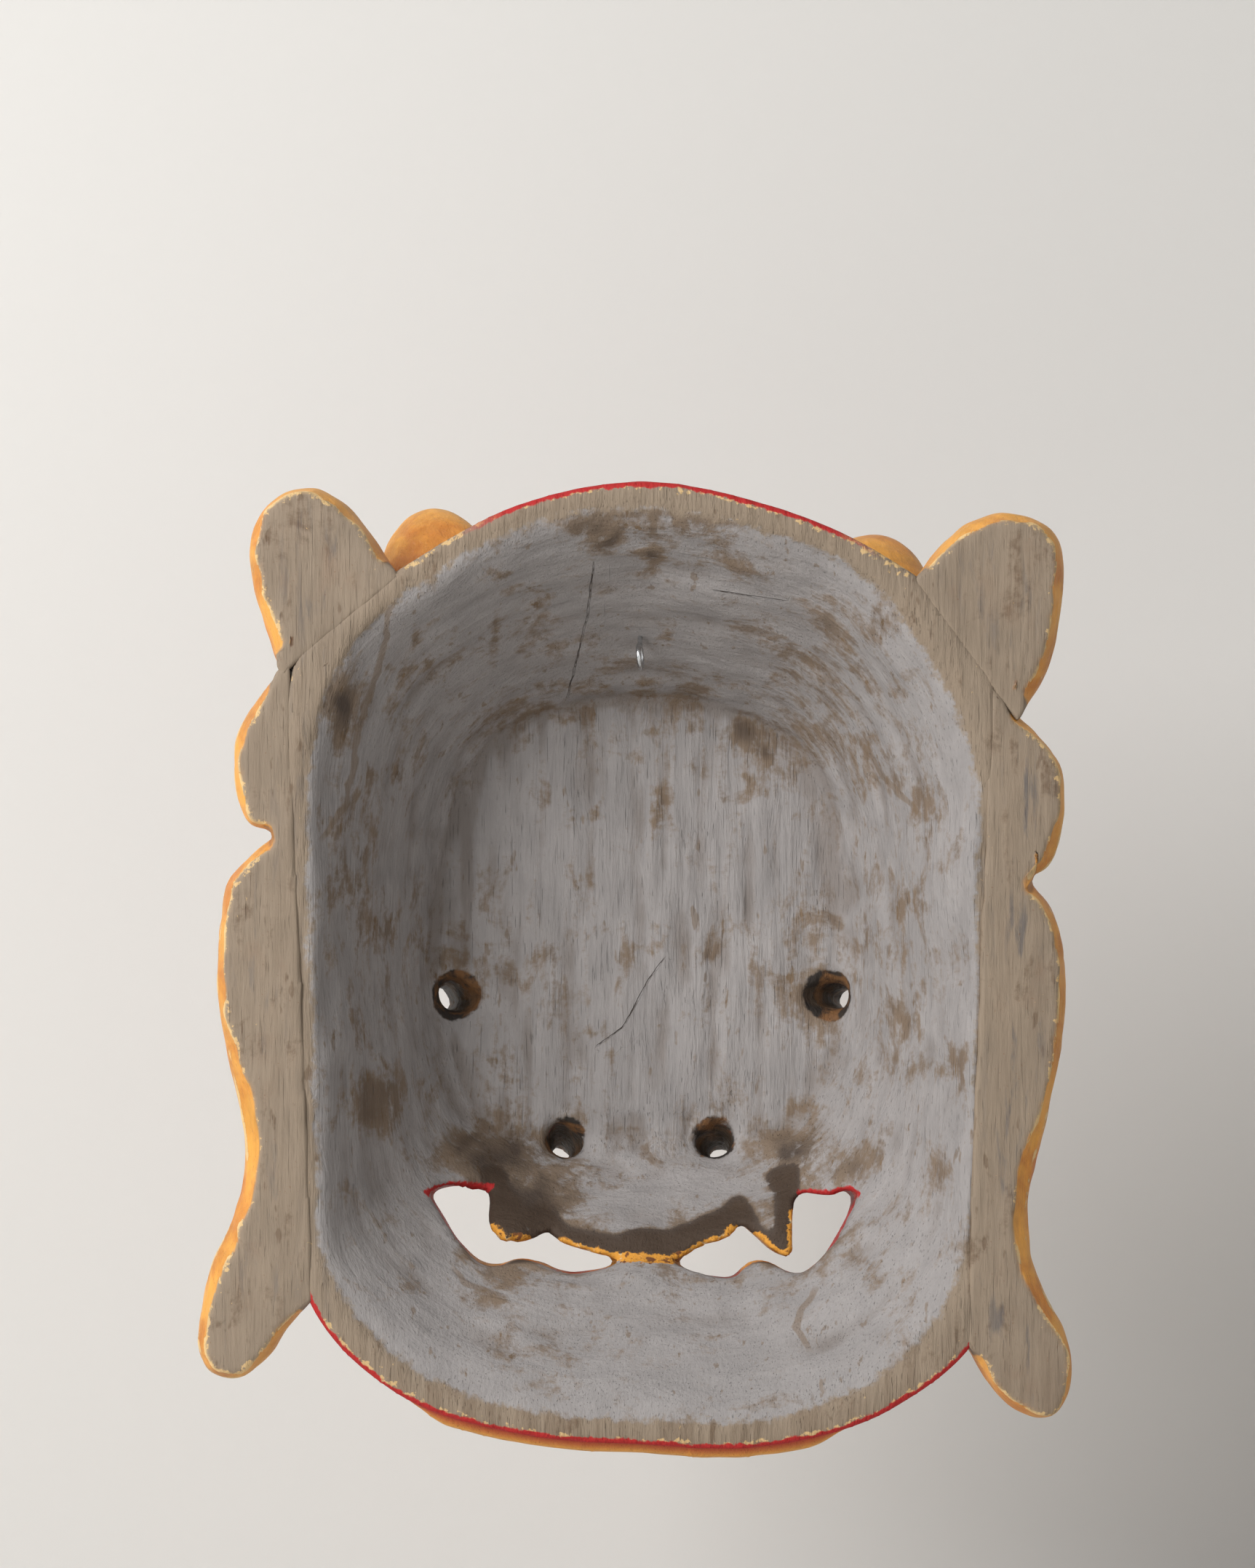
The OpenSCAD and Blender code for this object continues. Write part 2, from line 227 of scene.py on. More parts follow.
# Stores a place for each vertex, for paint that follows it.
def setPlace(thing, name, places):
    layer = thing.data.attributes.new(name, "FLOAT_VECTOR", "POINT")
    layer.data.foreach_set("vector", np.asarray(places, dtype=np.float32).ravel())


def setValue(thing, name, values):
    layer = thing.data.attributes.new(name, "FLOAT", "POINT")
    layer.data.foreach_set("value", np.asarray(values, dtype=np.float32))


block = {
    "halfWidth": 121.5,     # at the glue faces, at mid height
    "lean": 2.2,            # degrees that the glue faces lean outwards
    "depth": 108.0,         # from the back plane to the brow
    "chinBack": 0.28,       # shares of the depth that the chin and the crown fall back by
    "crownBack": 0.15,
    "beardDrop": 11.0,      # how far the beard hangs below the rim
    "hollowDepth": 85.0,
    "floorHalf": 76.0,      # half width of the hollow's floor, and the heights of its ends
    "floorTop": 95.0,
    "floorLow": -76.0,
    "square": 1.9,          # size of the surface's squares
}
# Radii of the outline of the back and of the hollow's edge, every 15 degrees from the wearer's left over the
# crown and back by the chin.
rimRadii = [123.5, 129, 146, 165, 163.5, 168, 170.5, 168.5, 168, 166, 146, 129,
            123.5, 126.5, 140, 173, 178.5, 174, 167.7, 169.5, 172.5, 165, 140, 126.5]
mouthRadii = [116.5, 120, 133, 149, 155, 160, 160.5, 158.5, 157, 147, 135, 122,
              118.5, 123, 136, 156, 166, 163, 158, 160, 161.5, 153, 131, 118.5]
# Where the foot of each upper lock meets the block's outline.
notches = {"left": np.array([[86.2, 138.5], [127.2, 104.3]]),
           "right": np.array([[-97.7, 136.5], [-134.1, 87.3]])}
leanSlope = math.tan(math.radians(block["lean"]))


# Half width between the glue faces at a height.
def glueHalf(z):
    return block["halfWidth"] + z * leanSlope


# Moves what lies beyond a glue face straight back onto it.
def ontoFlats(x, z):
    x = np.clip(x, -glueHalf(z), glueHalf(z))
    for side, turn in (("left", 1), ("right", -1)):
        p, q = notches[side]
        along = (q - p) / np.linalg.norm(q - p)
        out = np.array([-along[1], along[0]]) * turn
        over = np.maximum((x - p[0]) * out[0] + (z - p[1]) * out[1], 0)
        x = x - over * out[0]
        z = z - over * out[1]
    return x, z


fangs = {"blunt": (45.0, -97.0, 9.5, 12.0), "pointed": (-55.0, -99.0, 7.5, 15.0)}


# Ripples of the given width that run along a slanting direction.
def ripples(x, z, slope, width):
    return np.cos(2 * np.pi * (x * slope[0] + z * slope[1]) / width)


# What stands out of the front: nose, brows, eyes, cheeks, lips, teeth, moustache and beard, in millimetres.
def relief(x, z):
    nose = 40 * (0.5 * bell(x, z, 0, -14, 13, 34) + 0.9 * bell(x, z, 0, -56, 23, 20)
                 + 0.5 * bellPair(x, z, 27, -64, 14, 12))
    brow = 14 * (bellPair(x, z, 34, 30, 24, 9) + bellPair(x, z, 70, 20, 20, 11))
    eye = 16 * bellPair(x, z, 70, -14, 21, 17)
    cheek = 13 * (bellPair(x, z, 62, -62, 24, 16) + bell(x, z, 0, -128, 66, 8)
                  + 0.8 * bell(x, z, 0, -150, 40, 12))
    return nose + brow + eye + cheek


# Finer carving of the front: hair on brows, moustache and beard, lids, wrinkles, folds, lips and teeth.
def fineRelief(x, z):
    side = np.abs(x)
    browHair = browMask(x, z) * (2.2 + 1.1 * ripples(side, z, (1, 0.5), 5.5))
    lid = np.hypot((side - 70) / 23, (z + 14) / 18)
    lids = 3.4 * np.exp(-((lid - 1) / 0.13) ** 2) - 2.0 * np.exp(-((lid - 1.25) / 0.12) ** 2)
    wrinkles = 1.6 * bell(x, z, 0, 84, 70, 26) * np.cos(2 * np.pi * (z - 0.0016 * x ** 2) / 15)
    fold = -3.2 * np.exp(-((side - 40 - 0.25 * (-60 - z)) / 5) ** 2) * ramp(-92, -80, z) * ramp(-44, -56, z)
    whisker = whiskerMask(x, z) * (3.4 + 1.3 * ripples(side, z, (0.45, 1), 5.0))
    toothGap = -1.6 * teethMask(x, z) * (0.5 + 0.5 * np.cos(2 * np.pi * (x + 4.5) / 9)) ** 4
    fang = 0
    for cx, cz, rx, rz in fangs.values():
        fang = fang + 6 * bell(x, z, cx, cz, rx, rz)
    beard = beardMask(x, z) * (1.0 + 1.5 * ripples(x + 3 * np.sin(z / 7), z, (1, 0), 7.5))
    lip = 2.5 * np.exp(-((z + 84 + 0.0009 * x ** 2) / 3.5) ** 2) * ramp(90, 76, side)
    return browHair + lids + wrinkles + fold + whisker + toothGap + fang + beard + lip


# Where each coloured part of the front lies, 0 outside it and 1 inside.
def browMask(x, z):
    side = np.abs(x)
    middle = 35 - 0.0075 * (side - 52) ** 2
    half = 10.5 * np.sqrt(np.clip(1 - ((side - 54) / 44) ** 2, 0, 1)) + 0.8 * np.sin(side / 2.6)
    return ramp(10, 13, side) * ramp(1.5, -1, np.abs(z - middle) - half)


def whiskerMask(x, z):
    side = np.abs(x)
    middle = -77 - 0.0035 * side ** 2 + 0.16 * side
    return ramp(66, 52, side) * ramp(6.5, 4.5, np.abs(z - middle)) * ramp(2, 6, side)


def teethMask(x, z):
    return ramp(-84, -88, z) * ramp(-117, -113, z) * ramp(66, 60, np.abs(x))


def beardMask(x, z):
    return ramp(-135, -142, z + 0.0012 * x ** 2 + 3 * np.sin(x / 9))


# The front: rings that shrink towards the middle as share goes from 1 to 0, while the depth rises as
# (1 - share^3)^0.45, less at the chin and the crown, plus the relief.
def frontRings(angles, steps):
    a = angles[None, :]
    share = 1 - np.linspace(0, 0.995, steps)[:, None] ** 1.35
    radius = radiusAt(rimRadii, np.degrees(a)) * share
    x, z = radius * np.cos(a), radius * np.sin(a)
    rise = (1 - share ** 3) ** 0.45
    low, high = np.clip((-z - 50) / 90, 0, 1), np.clip((z - 60) / 100, 0, 1)
    bulge = np.sin(np.pi * np.minimum(2.6 * (1 - share), 1))
    sag = block["beardDrop"] * np.clip(-np.sin(a), 0, 1) ** 6 * bulge
    depth = block["depth"] * (1 - block["chinBack"] * low - block["crownBack"] * high)
    y = -rise * (depth + relief(x, z) + ramp(0.3, 0.8, rise) * fineRelief(x, z))
    x, z = ontoFlats(x, z - sag)
    return np.stack([x, y, z], axis=-1)


# x and z of the hollow's wall at an angle: share g of the straight way from the edge at the back to the
# floor's rounded square, whose radius is its half width times (|cos|^3 + |sin|^3)^(-1/3).
def wallPlace(a, g):
    edge = radiusAt(mouthRadii, np.degrees(a))
    middle, high = (block["floorTop"] + block["floorLow"]) / 2, (block["floorTop"] - block["floorLow"]) / 2
    square = (np.abs(np.cos(a)) ** 3 + np.abs(np.sin(a)) ** 3) ** (-1 / 3)
    fx, fz = block["floorHalf"] * square * np.cos(a), middle + high * square * np.sin(a)
    ex, ez = edge * np.cos(a), edge * np.sin(a)
    return np.stack([ex + (fx - ex) * g, ez + (fz - ez) * g])


# The hollow: each ring lies on the wall at its share, and its depth grows as that share to the power 1.15.
def hollowRings(angles, shares):
    g = shares[:, None]
    x, z = wallPlace(angles[None, :], g)
    return np.stack([x, -block["hollowDepth"] * g ** 1.15 + 0 * x, z], axis=-1)


# The floor: the hollow's last ring, shrunk towards the floor's middle.
def floorRings(angles, shares):
    ring = hollowRings(angles, np.array([1.0]))[0]
    middle = np.array([0, -block["hollowDepth"], (block["floorTop"] + block["floorLow"]) / 2])
    return middle + (ring - middle)[None] * shares[:, None, None]


# Share of the way into the hollow for places inside it: 0 at the back edge, 1 at the floor's edge and beyond.
# It is found by steps that follow the wall's slope, as wallPlace gives it, until x and z are met.
def hollowShare(x, z):
    angles = np.arctan2(z, x)
    share = np.full(len(x), 0.5)
    for _ in range(24):
        ring = [wallPlace(angles, share + d) for d in (0, 0.001)]
        turned = wallPlace(angles + 0.001, share)
        gap = np.stack([x, z]) - ring[0]
        ds, da = (ring[1] - ring[0]) / 0.001, (turned - ring[0]) / 0.001
        det = ds[0] * da[1] - ds[1] * da[0]
        det = np.where(np.abs(det) < 1e-3, 1e-3, det)
        stepS = (gap[0] * da[1] - gap[1] * da[0]) / det
        stepA = (ds[0] * gap[1] - ds[1] * gap[0]) / det
        share = np.clip(share + np.clip(stepS, -0.3, 0.3), -0.3, 2.2)
        angles = angles + np.clip(stepA, -0.3, 0.3)
    return share


# The open mouth in two parts, each along the teeth and a fang and back along the lower lip.
mouthParts = [
    [[77.1, -86.5], [70, -83.8], [62, -84], [54.9, -85.2], [54.8, -96], [53.4, -100], [48.9, -103.7],
     [41.1, -103.8], [33.6, -100.6], [28.5, -104.8], [19.7, -107.4], [10.9, -109.8], [3.5, -110.6],
     [10.9, -114.2], [21.7, -116.4], [29.4, -115.6], [38.2, -112.1], [45, -111.4], [50.8, -113.4],
     [58.6, -112.6], [67.4, -104.3], [73.2, -94.9], [76.6, -89]],
    [[-11.5, -111.2], [-17.2, -109.6], [-20.2, -106.8], [-31.8, -102.4], [-34.2, -99.8], [-37.7, -98],
     [-42.6, -102], [-48.4, -107.6], [-53.7, -110.2], [-55.2, -107.4], [-55.6, -94.4], [-58.3, -86.4],
     [-68.8, -87.2], [-76.6, -85.6], [-79.2, -88], [-74.7, -98.3], [-66.9, -110.9], [-59.1, -116.6],
     [-52.3, -115.6], [-45.5, -112.2], [-39.6, -113.2], [-34.2, -118], [-26, -117.8], [-18.2, -115.4],
     [-12, -112.6]]]
# The edges that carry paint: along fangs and teeth, in the two upper corners, and along the lower lip.
teethEdges = [mouthParts[0][5:8], mouthParts[0][9:13] + mouthParts[1][:5], mouthParts[1][6:11]]
upperEdge = mouthParts[0][3:13] + mouthParts[1][:12]
cornerEdges = [mouthParts[0][:4], mouthParts[1][11:15]]
lipEdges = [mouthParts[0][13:], mouthParts[1][15:]]
mouthSlant = math.radians(7.5)
mouthPivot = (-68.0, -98.0)      # y and z of the line that the cut slants about


# A prism through the block over a closed outline, running downwards as it goes forwards.
def mouthCutter(part):
    line = smoothLine(part, 3, closed=True)
    rings = []
    for y in (-30, -190):
        drop = (y - mouthPivot[0]) * math.tan(mouthSlant)
        rings.append(np.stack([line[:, 0], np.full(len(line), y), line[:, 1] + drop], axis=1))
    return ringSolid("mouth cut", rings)


# Eye and nostril passages: start x, y and z, tip and splay in degrees, radius at the hollow and further in.
passages = {"eye": (65.0, -73.0, -13.0, 98.0, 18.0, 8.6, 4.2),
            "nostril": (27.0, -81.0, -67.0, 112.0, 8.0, 6.8, 3.2)}


# Start, direction and radius of a passage through the wood: side is 1 for the wearer's left. The right eye's
# turns out a little more.
def passageLine(kind, side):
    x, y, z, tip, splay, radius, _ = passages[kind]
    splay += 9 if kind == "eye" and side < 0 else 0
    tip, splay = math.radians(tip), math.radians(splay)
    along = np.array([side * math.sin(tip) * math.sin(splay), -math.sin(tip) * math.cos(splay),
                      math.cos(tip)])
    return np.array([side * x, y, z]), along, radius


# A rough round hole along that line: its radius wavers with the angle, as a knife leaves it.
def passageCutter(kind, side):
    start, along, radius = passageLine(kind, side)
    across = np.cross(along, [0, 0, 1])
    across /= np.linalg.norm(across)
    up = np.cross(across, along)
    a = np.linspace(0, 2 * np.pi, 40, endpoint=False)
    rings = []
    narrow = passages[kind][6]
    for t in np.linspace(-8, 80, 23):
        waver = (1.05 + 0.16 * np.sin(2 * a + 1.3 + side + t / 20) + 0.07 * np.sin(3 * a + 2 * side)
                 + 0.05 * np.sin(5 * a + t / 14 + side))
        r = (narrow + (radius - narrow) * ramp(26, 4, t)) * waver
        rings.append(start + along * t + np.outer(r * np.cos(a), across) + np.outer(r * np.sin(a), up))
    return ringSolid(kind + " cut", rings)


# The block: floor, wall and front rings make one closed skin, the mouth and the passages are cut through it,
# and even squares are laid over all of it.
def makeBlock():
    angles = np.linspace(0, 2 * np.pi, 400, endpoint=False)
    floor = floorRings(angles, np.linspace(0.01, 0.98, 40))
    wall = hollowRings(angles, np.linspace(1, 0, 60))
    front = frontRings(angles, 130)
    carved = ringSolid("carved_face", np.concatenate([floor, wall, front]))
    for part in mouthParts:
        cutAway(carved, mouthCutter(part))
    for kind in passages:
        for side in (1, -1):
            cutAway(carved, passageCutter(kind, side))
    evenOut(carved, block["square"])
    return carved


print("carving the block")
carvedFace = makeBlock()
print("block:", len(carvedFace.data.polygons), "squares")


# Worn and dirty places in the hollow as they lie when looked at straight from behind, scaled to the back
# plane: across and up from the view's middle, half widths across and up, and strength.
wornPlaces = [
    (0, 92, 52, 9, 0.8), (-62, -70, 12, 30, 0.5), (60, -60, 12, 30, 0.45), (-70, 30, 22, 30, 0.45),
    (95, -40, 12, 50, 0.4), (-95, -50, 10, 40, 0.5), (0, 30, 50, 12, 0.5), (-18, 55, 6.5, 3.7, 0.8),
    (11, 84, 9.0, 4.1, 1.0), (-7, 78, 10.6, 3.7, 0.9), (41, 74, 5.7, 3.3, 0.8), (47, 51, 3.7, 9.0, 0.6),
    (101, 26, 10.6, 14.7, 1.0), (78, 3, 4.1, 6.5, 0.8), (88, 4, 3.3, 3.3, 0.6), (-6, 18, 12.2, 2.9, 0.7),
    (13, 5, 2.9, 5.7, 0.7), (11, -6, 2.9, 6.5, 0.8), (-43, 15, 8.2, 10.6, 1.0), (-14, -6, 5.7, 8.2, 0.8),
    (-41, -1, 4.9, 3.7, 0.8), (18, -34, 4.1, 6.5, 0.5), (-52, -35, 3.3, 4.1, 0.6),
    (13, -54, 7.3, 2.4, 0.6), (-6, -58, 10.6, 2.4, 0.6), (-33, -58, 4.1, 4.9, 0.5),
    (14, -90, 5.7, 3.7, 0.6), (3, -101, 3.3, 4.9, 0.8), (-66, -113, 13.9, 6.5, 0.7),
    (-117, -98, 6.5, 12.2, 0.7), (-110, -138, 5.7, 9.0, 0.5), (89, -111, 13.9, 12.2, 0.8),
    (76, 52, 2.0, 6.5, 0.7), (69, 39, 1.6, 5.7, 0.7), (-96, -83, 2.0, 5.7, 0.7),
    (-102, -83, 1.6, 4.9, 0.6), (-92, -93, 2.0, 3.3, 0.6), (44, -131, 24.5, 12.2, 1.0),
    (57, -125, 12.2, 8.2, 0.9), (32, -143, 18.0, 12.2, 1.0), (-7, -156, 44.9, 6.5, 1.0),
    (-60, -131, 13.9, 12.2, 1.0), (-77, -134, 11.4, 10.6, 0.8), (-54, -146, 10.6, 13.9, 0.8),
    (16, 91, 24.5, 5.7, 0.5), (57, -164, 7.3, 5.7, 0.7), (41, -176, 8.2, 5.7, 0.6),
    (-81, -169, 8.2, 7.3, 0.6), (-61, -165, 9.0, 4.1, 0.5), (-35, 81, 13.9, 4.9, 0.6),
    (-25, 96, 16.3, 3.3, 0.7), (36, 66, 12.2, 6.5, 0.4), (-86, 10, 14.7, 12.2, 0.5),
    (77, 30, 6.5, 16.3, 0.4), (110, -123, 5.7, 12.2, 0.5), (-11, 99, 20.4, 4.1, 0.5),
    (-104, -8, 7.3, 9.8, 0.6)]
# Brown drips and runs, as lines in the same measure, with their half widths.
drips = [
    ([(82, 68), (85, 51), (89, 36), (94, 21), (96, 7), (99, -8), (108, -20)], 1.1),
    ([(-83, 15), (-89, 3), (-98, -6), (-104, -12)], 1.0),
    ([(-67, -176), (-61, -185), (-59, -191), (-64, -199)], 1.3),
    ([(62, -169), (57, -175), (43, -180)], 1.0)]
# Cracks in the same way.
cracks = [
    ([(12, 78), (14, 59), (17, 47), (21, 30)], 0.25),
    ([(-30, 68), (-43, 66), (-56, 64)], 0.2),
    ([(-13, -61), (-6, -71), (1, -85), (11, -92)], 0.25)]
# Where the backs of the two fangs bulge into the hollow.
fangBacks = [(45, -97), (-51, -100)]
viewDistance = 1250.0
viewMiddle = (4.6, 64.3)


def seenFromBehind(points):
    shrink = 1 - points[:, 1] / viewDistance
    return (points[:, 0] - viewMiddle[0]) / shrink, (points[:, 2] - viewMiddle[1]) / shrink


# Distance from places to an open line.
def distanceToLine(x, z, line):
    best = np.full(len(x), 1e9)
    for (ax, az), (bx, bz) in zip(line[:-1], line[1:]):
        dx, dz = bx - ax, bz - az
        t = np.clip(((x - ax) * dx + (z - az) * dz) / (dx * dx + dz * dz), 0, 1)
        best = np.minimum(best, np.hypot(x - ax - t * dx, z - az - t * dz))
    return best


# Distance of each point from a passage's straight wall, below 0 inside it.
def distanceToPassage(points, kind, side):
    start, along, radius = passageLine(kind, side)
    apart = points - start
    t = apart @ along
    return np.linalg.norm(apart - t[:, None] * along, axis=1) - radius


# Unevenness of the flat backs, the same on every piece, so that the paint runs on over the joints.
def backLumps(x, z):
    return 0.3 * lumps(x / 12, 0, z / 12, 13) + 0.15 * lumps(x / 5, 0, z / 9, 14) - 0.3


# Distance to a bent line with a sign for its side, and 1 along the line fading to 0 past its ends: the line
# is read as a height over its own straight direction.
def sideOfLine(x, z, line):
    line = np.array(line, dtype=float)
    whole = line[-1] - line[0]
    length = np.linalg.norm(whole)
    along = whole / length
    across = np.array([-along[1], along[0]])
    u = (x - line[0, 0]) * along[0] + (z - line[0, 1]) * along[1]
    v = (x - line[0, 0]) * across[0] + (z - line[0, 1]) * across[1]
    v = v - np.interp(u, (line - line[0]) @ along, (line - line[0]) @ across)
    reach = ramp(-1, 3, u) * ramp(length + 1, length - 3, u) * ramp(6, 4, np.abs(v))
    return np.clip(v, -6, 6), reach


# The thin lines of one kind together: each place keeps the line that it is nearest to.
def linesTogether(x, z, lines):
    offset, reach = np.full(len(x), 6.0), np.zeros(len(x))
    for line, half in lines:
        v, near = sideOfLine(x, z, line)
        offset = np.where(near > reach, v / half, offset)
        reach = np.maximum(reach, near)
    return offset, reach


# How far the tools left each place standing out, and how far the backs of teeth, fangs and lip bulge into the
# hollow. The marks are lumps stretched along the gouge's way: round the walls and up the floor.
def toolMarks(x, y, z, slantZ, share, inside, onFloor, front):
    angle = np.arctan2(z, x)
    around = np.stack([np.cos(angle), np.sin(angle)]) * 150
    wallMarks = (0.8 * lumps(around[0] / 30, y / 7, around[1] / 30, 3)
                 + 0.34 * lumps(around[0] / 14, y / 3.4, around[1] / 14, 4))
    broad = 1.3 * lumps(x / 34, y / 34, z / 34, 5) + 0.5 * lumps(x / 13, y / 13, z / 13, 6)
    floorMarks = (0.75 * lumps(x / 4.6, 0, z / 34, 7) + 0.34 * lumps(x / 2.6, 0, z / 17, 8)
                  + 0.5 * lumps(x / 9, 0, z / 26, 9))
    sideSteep = ramp(0.55, 0.95, np.abs(np.cos(angle)))
    facets = 0.9 * sideSteep * lumps(x / 60, (y + 0.3 * z) / 11, z / 60, 10)
    # a shallow ledge above the nostrils, a faint pressed-in place between them, scoops beside the passages
    ledge = 1.6 * ramp(-66, -72, z) * ramp(-92, -80, z) * ramp(78, 60, np.abs(x)) * np.clip(share, 0, 1)
    recess = -0.8 * ramp(24, 19, np.abs(x - 1)) * ramp(-57, -61, z) * ramp(-78, -74, z)
    scoops = (-1.8 * bell(x, z, 54, -12, 8, 9) - 1.7 * bellPair(x, z, 27, -61, 9, 7)
              - 1.2 * bell(x, z, -62, -8, 9, 9))
    teethBack = 5.5 * bell(x, slantZ, 0, -98, 56, 12) * inside
    knobs = 0
    for cx, cz in fangBacks:
        knobs = knobs + 3.6 * bell(x, slantZ, cx, cz, 8, 11) * inside
    lipKnobs = 2.2 * inside * (bell(x, z, 0, -116, 12, 6) + bell(x, z, 40, -119, 10, 6)
                               + bell(x, z, -44, -120, 10, 6))
    onWall = inside - onFloor
    outwards = inside * (broad + scoops) + onWall * (wallMarks + facets) + onFloor * (floorMarks + recess)
    outwards = outwards + ledge * inside
    frontMarks = 0.35 * lumps(x / 7, y / 7, z / 7, 11) + 0.5 * lumps(x / 19, y / 19, z / 19, 12)
    outwards = outwards + front * frontMarks
    return outwards, teethBack + knobs + lipKnobs


# Wear of the hollow's paint: bells at the worn places, swayed by lumps, and a band above the mouth.
def wearOf(x, z, sx, sz, slantZ, toUpper):
    swayX = 4.5 * lumps(sx / 13, 0, sz / 13, 25) + 2.2 * lumps(sx / 5, 0, sz / 5, 27)
    swayZ = 4.5 * lumps(sx / 13, 0, sz / 13, 26) + 2.2 * lumps(sx / 5, 0, sz / 5, 28)
    above = ramp(-112.5, -108.5, slantZ + 0.0012 * x ** 2)
    worn = 1.5 * ramp(14, 6, toUpper + 6 * lumps(x / 9, 0, z / 9, 29)) * ramp(61, 57, np.abs(x)) * above
    for cx, cz, rx, rz, strength in wornPlaces:
        worn = np.maximum(worn, strength * bell(sx + swayX, sz + swayZ, cx, cz, rx, rz))
    return worn


# Works out where every part of the carved block's surface is, carves the tool marks, and stores what the
# paint needs.
def finishBlock(carved):
    p = readPoints(carved)
    n = readNormals(carved)
    x, y, z = p.T
    radius = np.hypot(x, z)
    angle = np.arctan2(z, x)
    mouthEdge = radiusAt(mouthRadii, np.degrees(angle))
    share = hollowShare(x, z)
    wallDepth = block["hollowDepth"] * np.clip(share, 0, 1) ** 1.15
    nearHollow = ramp(7, 2.5, np.abs(-y - wallDepth))
    fromMouth = mouthEdge - radius
    inside = nearHollow * ramp(-0.6, 0.4, fromMouth)
    backRim = ramp(-3.2, -1.2, y) * (1 - inside)
    front = (1 - inside) * (1 - backRim)
    onFloor = inside * ramp(0.97, 1.06, share)

    holes = np.full(len(p), -8.0)
    for kind in passages:
        for side in (1, -1):
            near = np.where(y < -60, -distanceToPassage(p, kind, side), -8.0)
            holes = np.maximum(holes, np.clip(near, -8, 8))
    slantZ = z - (y - mouthPivot[0]) * math.tan(mouthSlant)
    mouthZone = ramp(84, 80, np.abs(x)) * ramp(-120, -117, slantZ) * ramp(-80, -84, slantZ)
    deepIn = np.where(y < -32, 0.0, 12.0)
    toTeeth = np.minimum.reduce([distanceToLine(x, slantZ, e) for e in teethEdges]) + deepIn
    toCorner = np.minimum.reduce([distanceToLine(x, slantZ, e) for e in cornerEdges]) + deepIn
    toLip = np.minimum.reduce([distanceToLine(x, slantZ, e) for e in lipEdges]) + deepIn
    toTeeth = np.minimum(toTeeth, 12)
    toUpper = np.minimum(distanceToLine(x, slantZ, upperEdge) + deepIn, 30)

    outwards, backwards = toolMarks(x, y, z, slantZ, share, inside, onFloor, front)
    edges = readEdges(carved)
    # soften the corner into the hollow, and the floor's border except along its top
    soft = np.maximum(np.exp(-(fromMouth / 4) ** 2) * ramp(-12, -2, y),
                      inside * np.exp(-((share - 1) / 0.11) ** 2) * ramp(84, 74, z) * (1 - mouthZone))
    for _ in range(24):
        p = p + (averaged(p, edges, 1) - p) * (0.8 * soft)[:, None]
    n = averaged(n, edges, 1)
    p = p + n * (outwards * ramp(2, -4, holes) * (1 - backRim))[:, None]
    p[:, 1] += backwards * ramp(2, -4, holes)
    # the beard swells out just in front of the rim's lower edge
    swell = 4.2 * front * ramp(-3.5, -7, y) * ramp(-46, -20, y) * ramp(88, 66, x) * ramp(-80, -58, x)
    p[:, 2] -= swell * ramp(-120, -150, z)
    p[:, 1] = np.minimum(p[:, 1] + backRim * backLumps(x, z), 0)
    writePoints(carved, p)

    x, y, z = p.T
    sx, sz = seenFromBehind(p)
    worn = wearOf(x, z, sx, sz, slantZ, toUpper)
    wander = 0.8 * lumps(x / 4, y / 4, z / 4, 21)
    runOffset, runNear = linesTogether(sx + wander, sz, drips)
    crackOffset, crackNear = linesTogether(sx + 0.6 * wander, sz, cracks)
    degrees = np.degrees(angle)
    arc = np.maximum(ramp(66, 74, degrees) * ramp(121, 113, degrees),
                     ramp(-39, -45, degrees) * ramp(-139, -132, degrees))
    atFlats = np.minimum(glueHalf(z) - np.abs(x), 30)
    for foot in notches.values():
        atFlats = np.minimum(atFlats, distanceToLine(x, z, foot))
    atGlue = ramp(3.5, 2, atFlats) * ramp(-9, -6, y)
    free = ramp(1.5, 6, atFlats + 4 * ramp(-4, -12, y)) * np.where(y > -12, ramp(3, 8, -fromMouth), 1)
    side = np.abs(x)
    eyeball = np.hypot((side - 70) / 22, (z + 14) / 17)
    face = front * ramp(-8, -20, y)
    values = {
        "hollow": np.where(nearHollow > 0.5, np.clip(fromMouth, -12, 12), -12),
        "border": np.clip(radiusAt(rimRadii, degrees) - radius, -12, 12), "arc": arc,
        "rim": np.clip(backRim + nearHollow * ramp(-9, -4, y) + atGlue, 0, 1), "hole": holes,
        "floor": ramp(0.97, 1.03, share), "worn": worn * inside,
        "run": runOffset, "runNear": runNear * inside,
        "crack": crackOffset, "crackNear": crackNear * inside,
        "toTeeth": toTeeth, "toRed": np.minimum(toCorner, toLip + 1.5),
        # shadow: how far a place lies sunk below those round it, which the paint darkens as painted shade
        "edge": standsOut(carved, 3) * free, "shadow": -standsOut(carved, 12) * free,
        "teeth": teethMask(x, z) * face,
        "lips": face * ramp(7.5, 5.5, np.abs(slantZ + 122)) * ramp(76, 68, side),
        "white": face * np.clip((1.0 - eyeball) * 10 + 0.5, 0, 1),
        "black": face * np.clip((13 - np.hypot(side - 75.5, z + 18.5)) / 2 + 0.5, 0, 1),
        "ochre": np.maximum.reduce([face * browMask(x, z), face * whiskerMask(x, z),
                                    front * beardMask(x, z) * ramp(-3.2, -4.6, y)]),
        "scuff": 0.55 * ramp(-100, -112, x) * ramp(-120, -60, z) * ramp(70, 20, z) + 0.3 * ramp(100, 112, x),
    }
    for name, value in values.items():
        setValue(carved, name, value)
    # strokes on the walls run round the hollow
    setPlace(carved, "stroke", np.stack([0.03 * np.cos(angle), y / 1000, 0.03 * np.sin(angle)], axis=1))


finishBlock(carvedFace)
print("tool marks and wear are on the block")


